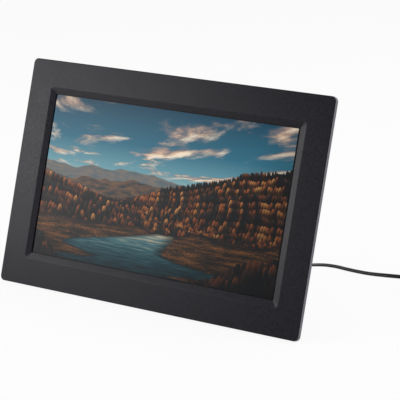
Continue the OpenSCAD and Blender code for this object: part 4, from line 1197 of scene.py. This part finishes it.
def build_tie():
    """A woven strap round the coil's winding."""
    bm = ring_stack([
        (STRAP_HALF_W + out, STRAP_HALF_H + out, STRAP_R + out, depth)
        for out, depth in ((STRAP_T, -STRAP_REACH), (STRAP_T, STRAP_REACH),
                           (0, STRAP_REACH), (0, -STRAP_REACH))
    ], 5)
    bmesh.ops.translate(bm, vec=STRAP_PLACE, verts=bm.verts)
    add_piece("coil_strap", bm, TIE, "tie_strap", "coil_tie", place=FLAT)


build_tie()

# ---- floor and light

FLOOR_SIZE, FLOOR_DROP = 6, 0.0002
FLOOR_GLOW, FLOOR_SHARE = 0.5, 0.9


def make_floor_material():
    """A matt white floor, seen as white, that keeps the soft shadow under the object."""
    s = new_material("white_floor", Specular_IOR_Level=0.1)
    cloud = s.noise(s.place(), 1.5, 2)
    nodes = s.dress(
        Base_Color=s.mix(cloud, rgb(236, 236, 236), rgb(240, 240, 240)),
        Roughness=s.scale_to(cloud, 0, 1, 0.7, 0.8),
    ).node_tree.nodes
    direct, mirrored = s.rays()
    glow = s.add("Emission", {
        "Color": (1, 1, 1, 1), "Strength": s.line(direct, FLOOR_GLOW, FLOOR_GLOW),
    })
    seen = s.math("MAXIMUM", direct, mirrored)
    blend = s.add("MixShader", {"Fac": s.times(seen, FLOOR_SHARE)})
    s.put(blend.inputs[1], nodes["Principled BSDF"].outputs[0])
    s.put(blend.inputs[2], glow.outputs[0])
    s.put(nodes["Material Output"].inputs["Surface"], blend.outputs[0])
    return s.owner


def build_floor():
    bm = bmesh.new()
    square(bm, FLOOR_SIZE)
    floor = new_object("floor", new_mesh("floor", bm))
    floor.data.materials.append(make_floor_material())
    floor.location.z = -FLOOR_DROP


build_floor()

ROOM_LEVEL = 0.45
DIM_LEVEL = 0.06
DIM_SIDE = (-0.12, -0.985, 0.12)
DIM_EDGE = (0.42, 0.78)
LAMPS = [
    # name, place, what it is turned to, size, power
    ("left_softbox", (-0.65, -0.605, 0.295), (-0.1, 0, 0.13), (0.44, 0.27), 2.87),
    ("front_card", (-0.3, -0.95, 0.2), (-0.1, 0, 0.1), (0.2, 0.4), 0.2),
    ("top_softbox", (0.3, 0.4, 1.8), (0, 0, 0.05), (1.6, 1.6), 14),
    ("right_softbox", (1.6, 0.6, 0.7), (0.1, 0, 0.08), (0.7, 1), 8),
]


def light_room():
    """Even light all round. Eyes, gloss and glass see a white room, dim where the screen faces."""
    world = bpy.data.worlds.new("room")
    bpy.context.scene.world = world
    world.use_nodes = True
    s = Shader(world.node_tree)
    for node in list(world.node_tree.nodes):
        world.node_tree.nodes.remove(node)
    way = s.add("TexCoord").outputs["Generated"]
    towards = s.add("VectorMath", {0: way, 1: DIM_SIDE}, operation="DOT_PRODUCT")
    dimmed = s.step(towards.outputs["Value"], *DIM_EDGE)
    reflected = s.scale_to(dimmed, 0, 1, 1, DIM_LEVEL)
    direct, mirrored = s.rays()
    level = s.line(mirrored, s.minus(reflected, ROOM_LEVEL), ROOM_LEVEL)
    light = s.add("Background", {
        "Color": (1, 1, 1, 1), "Strength": s.math("MAXIMUM", level, direct),
    })
    s.put(s.add("OutputWorld").inputs["Surface"], light.outputs[0])


def add_softbox(name, place, target, size, power):
    data = bpy.data.lights.new(name, "AREA")
    data.shape = "RECTANGLE"
    data.size, data.size_y = size
    data.energy = power
    lamp = new_object(name, data)
    lamp.visible_camera = False
    aim(lamp, place, target)


light_room()
for lamp in LAMPS:
    add_softbox(*lamp)

bpy.context.scene.view_settings.view_transform = "Standard"
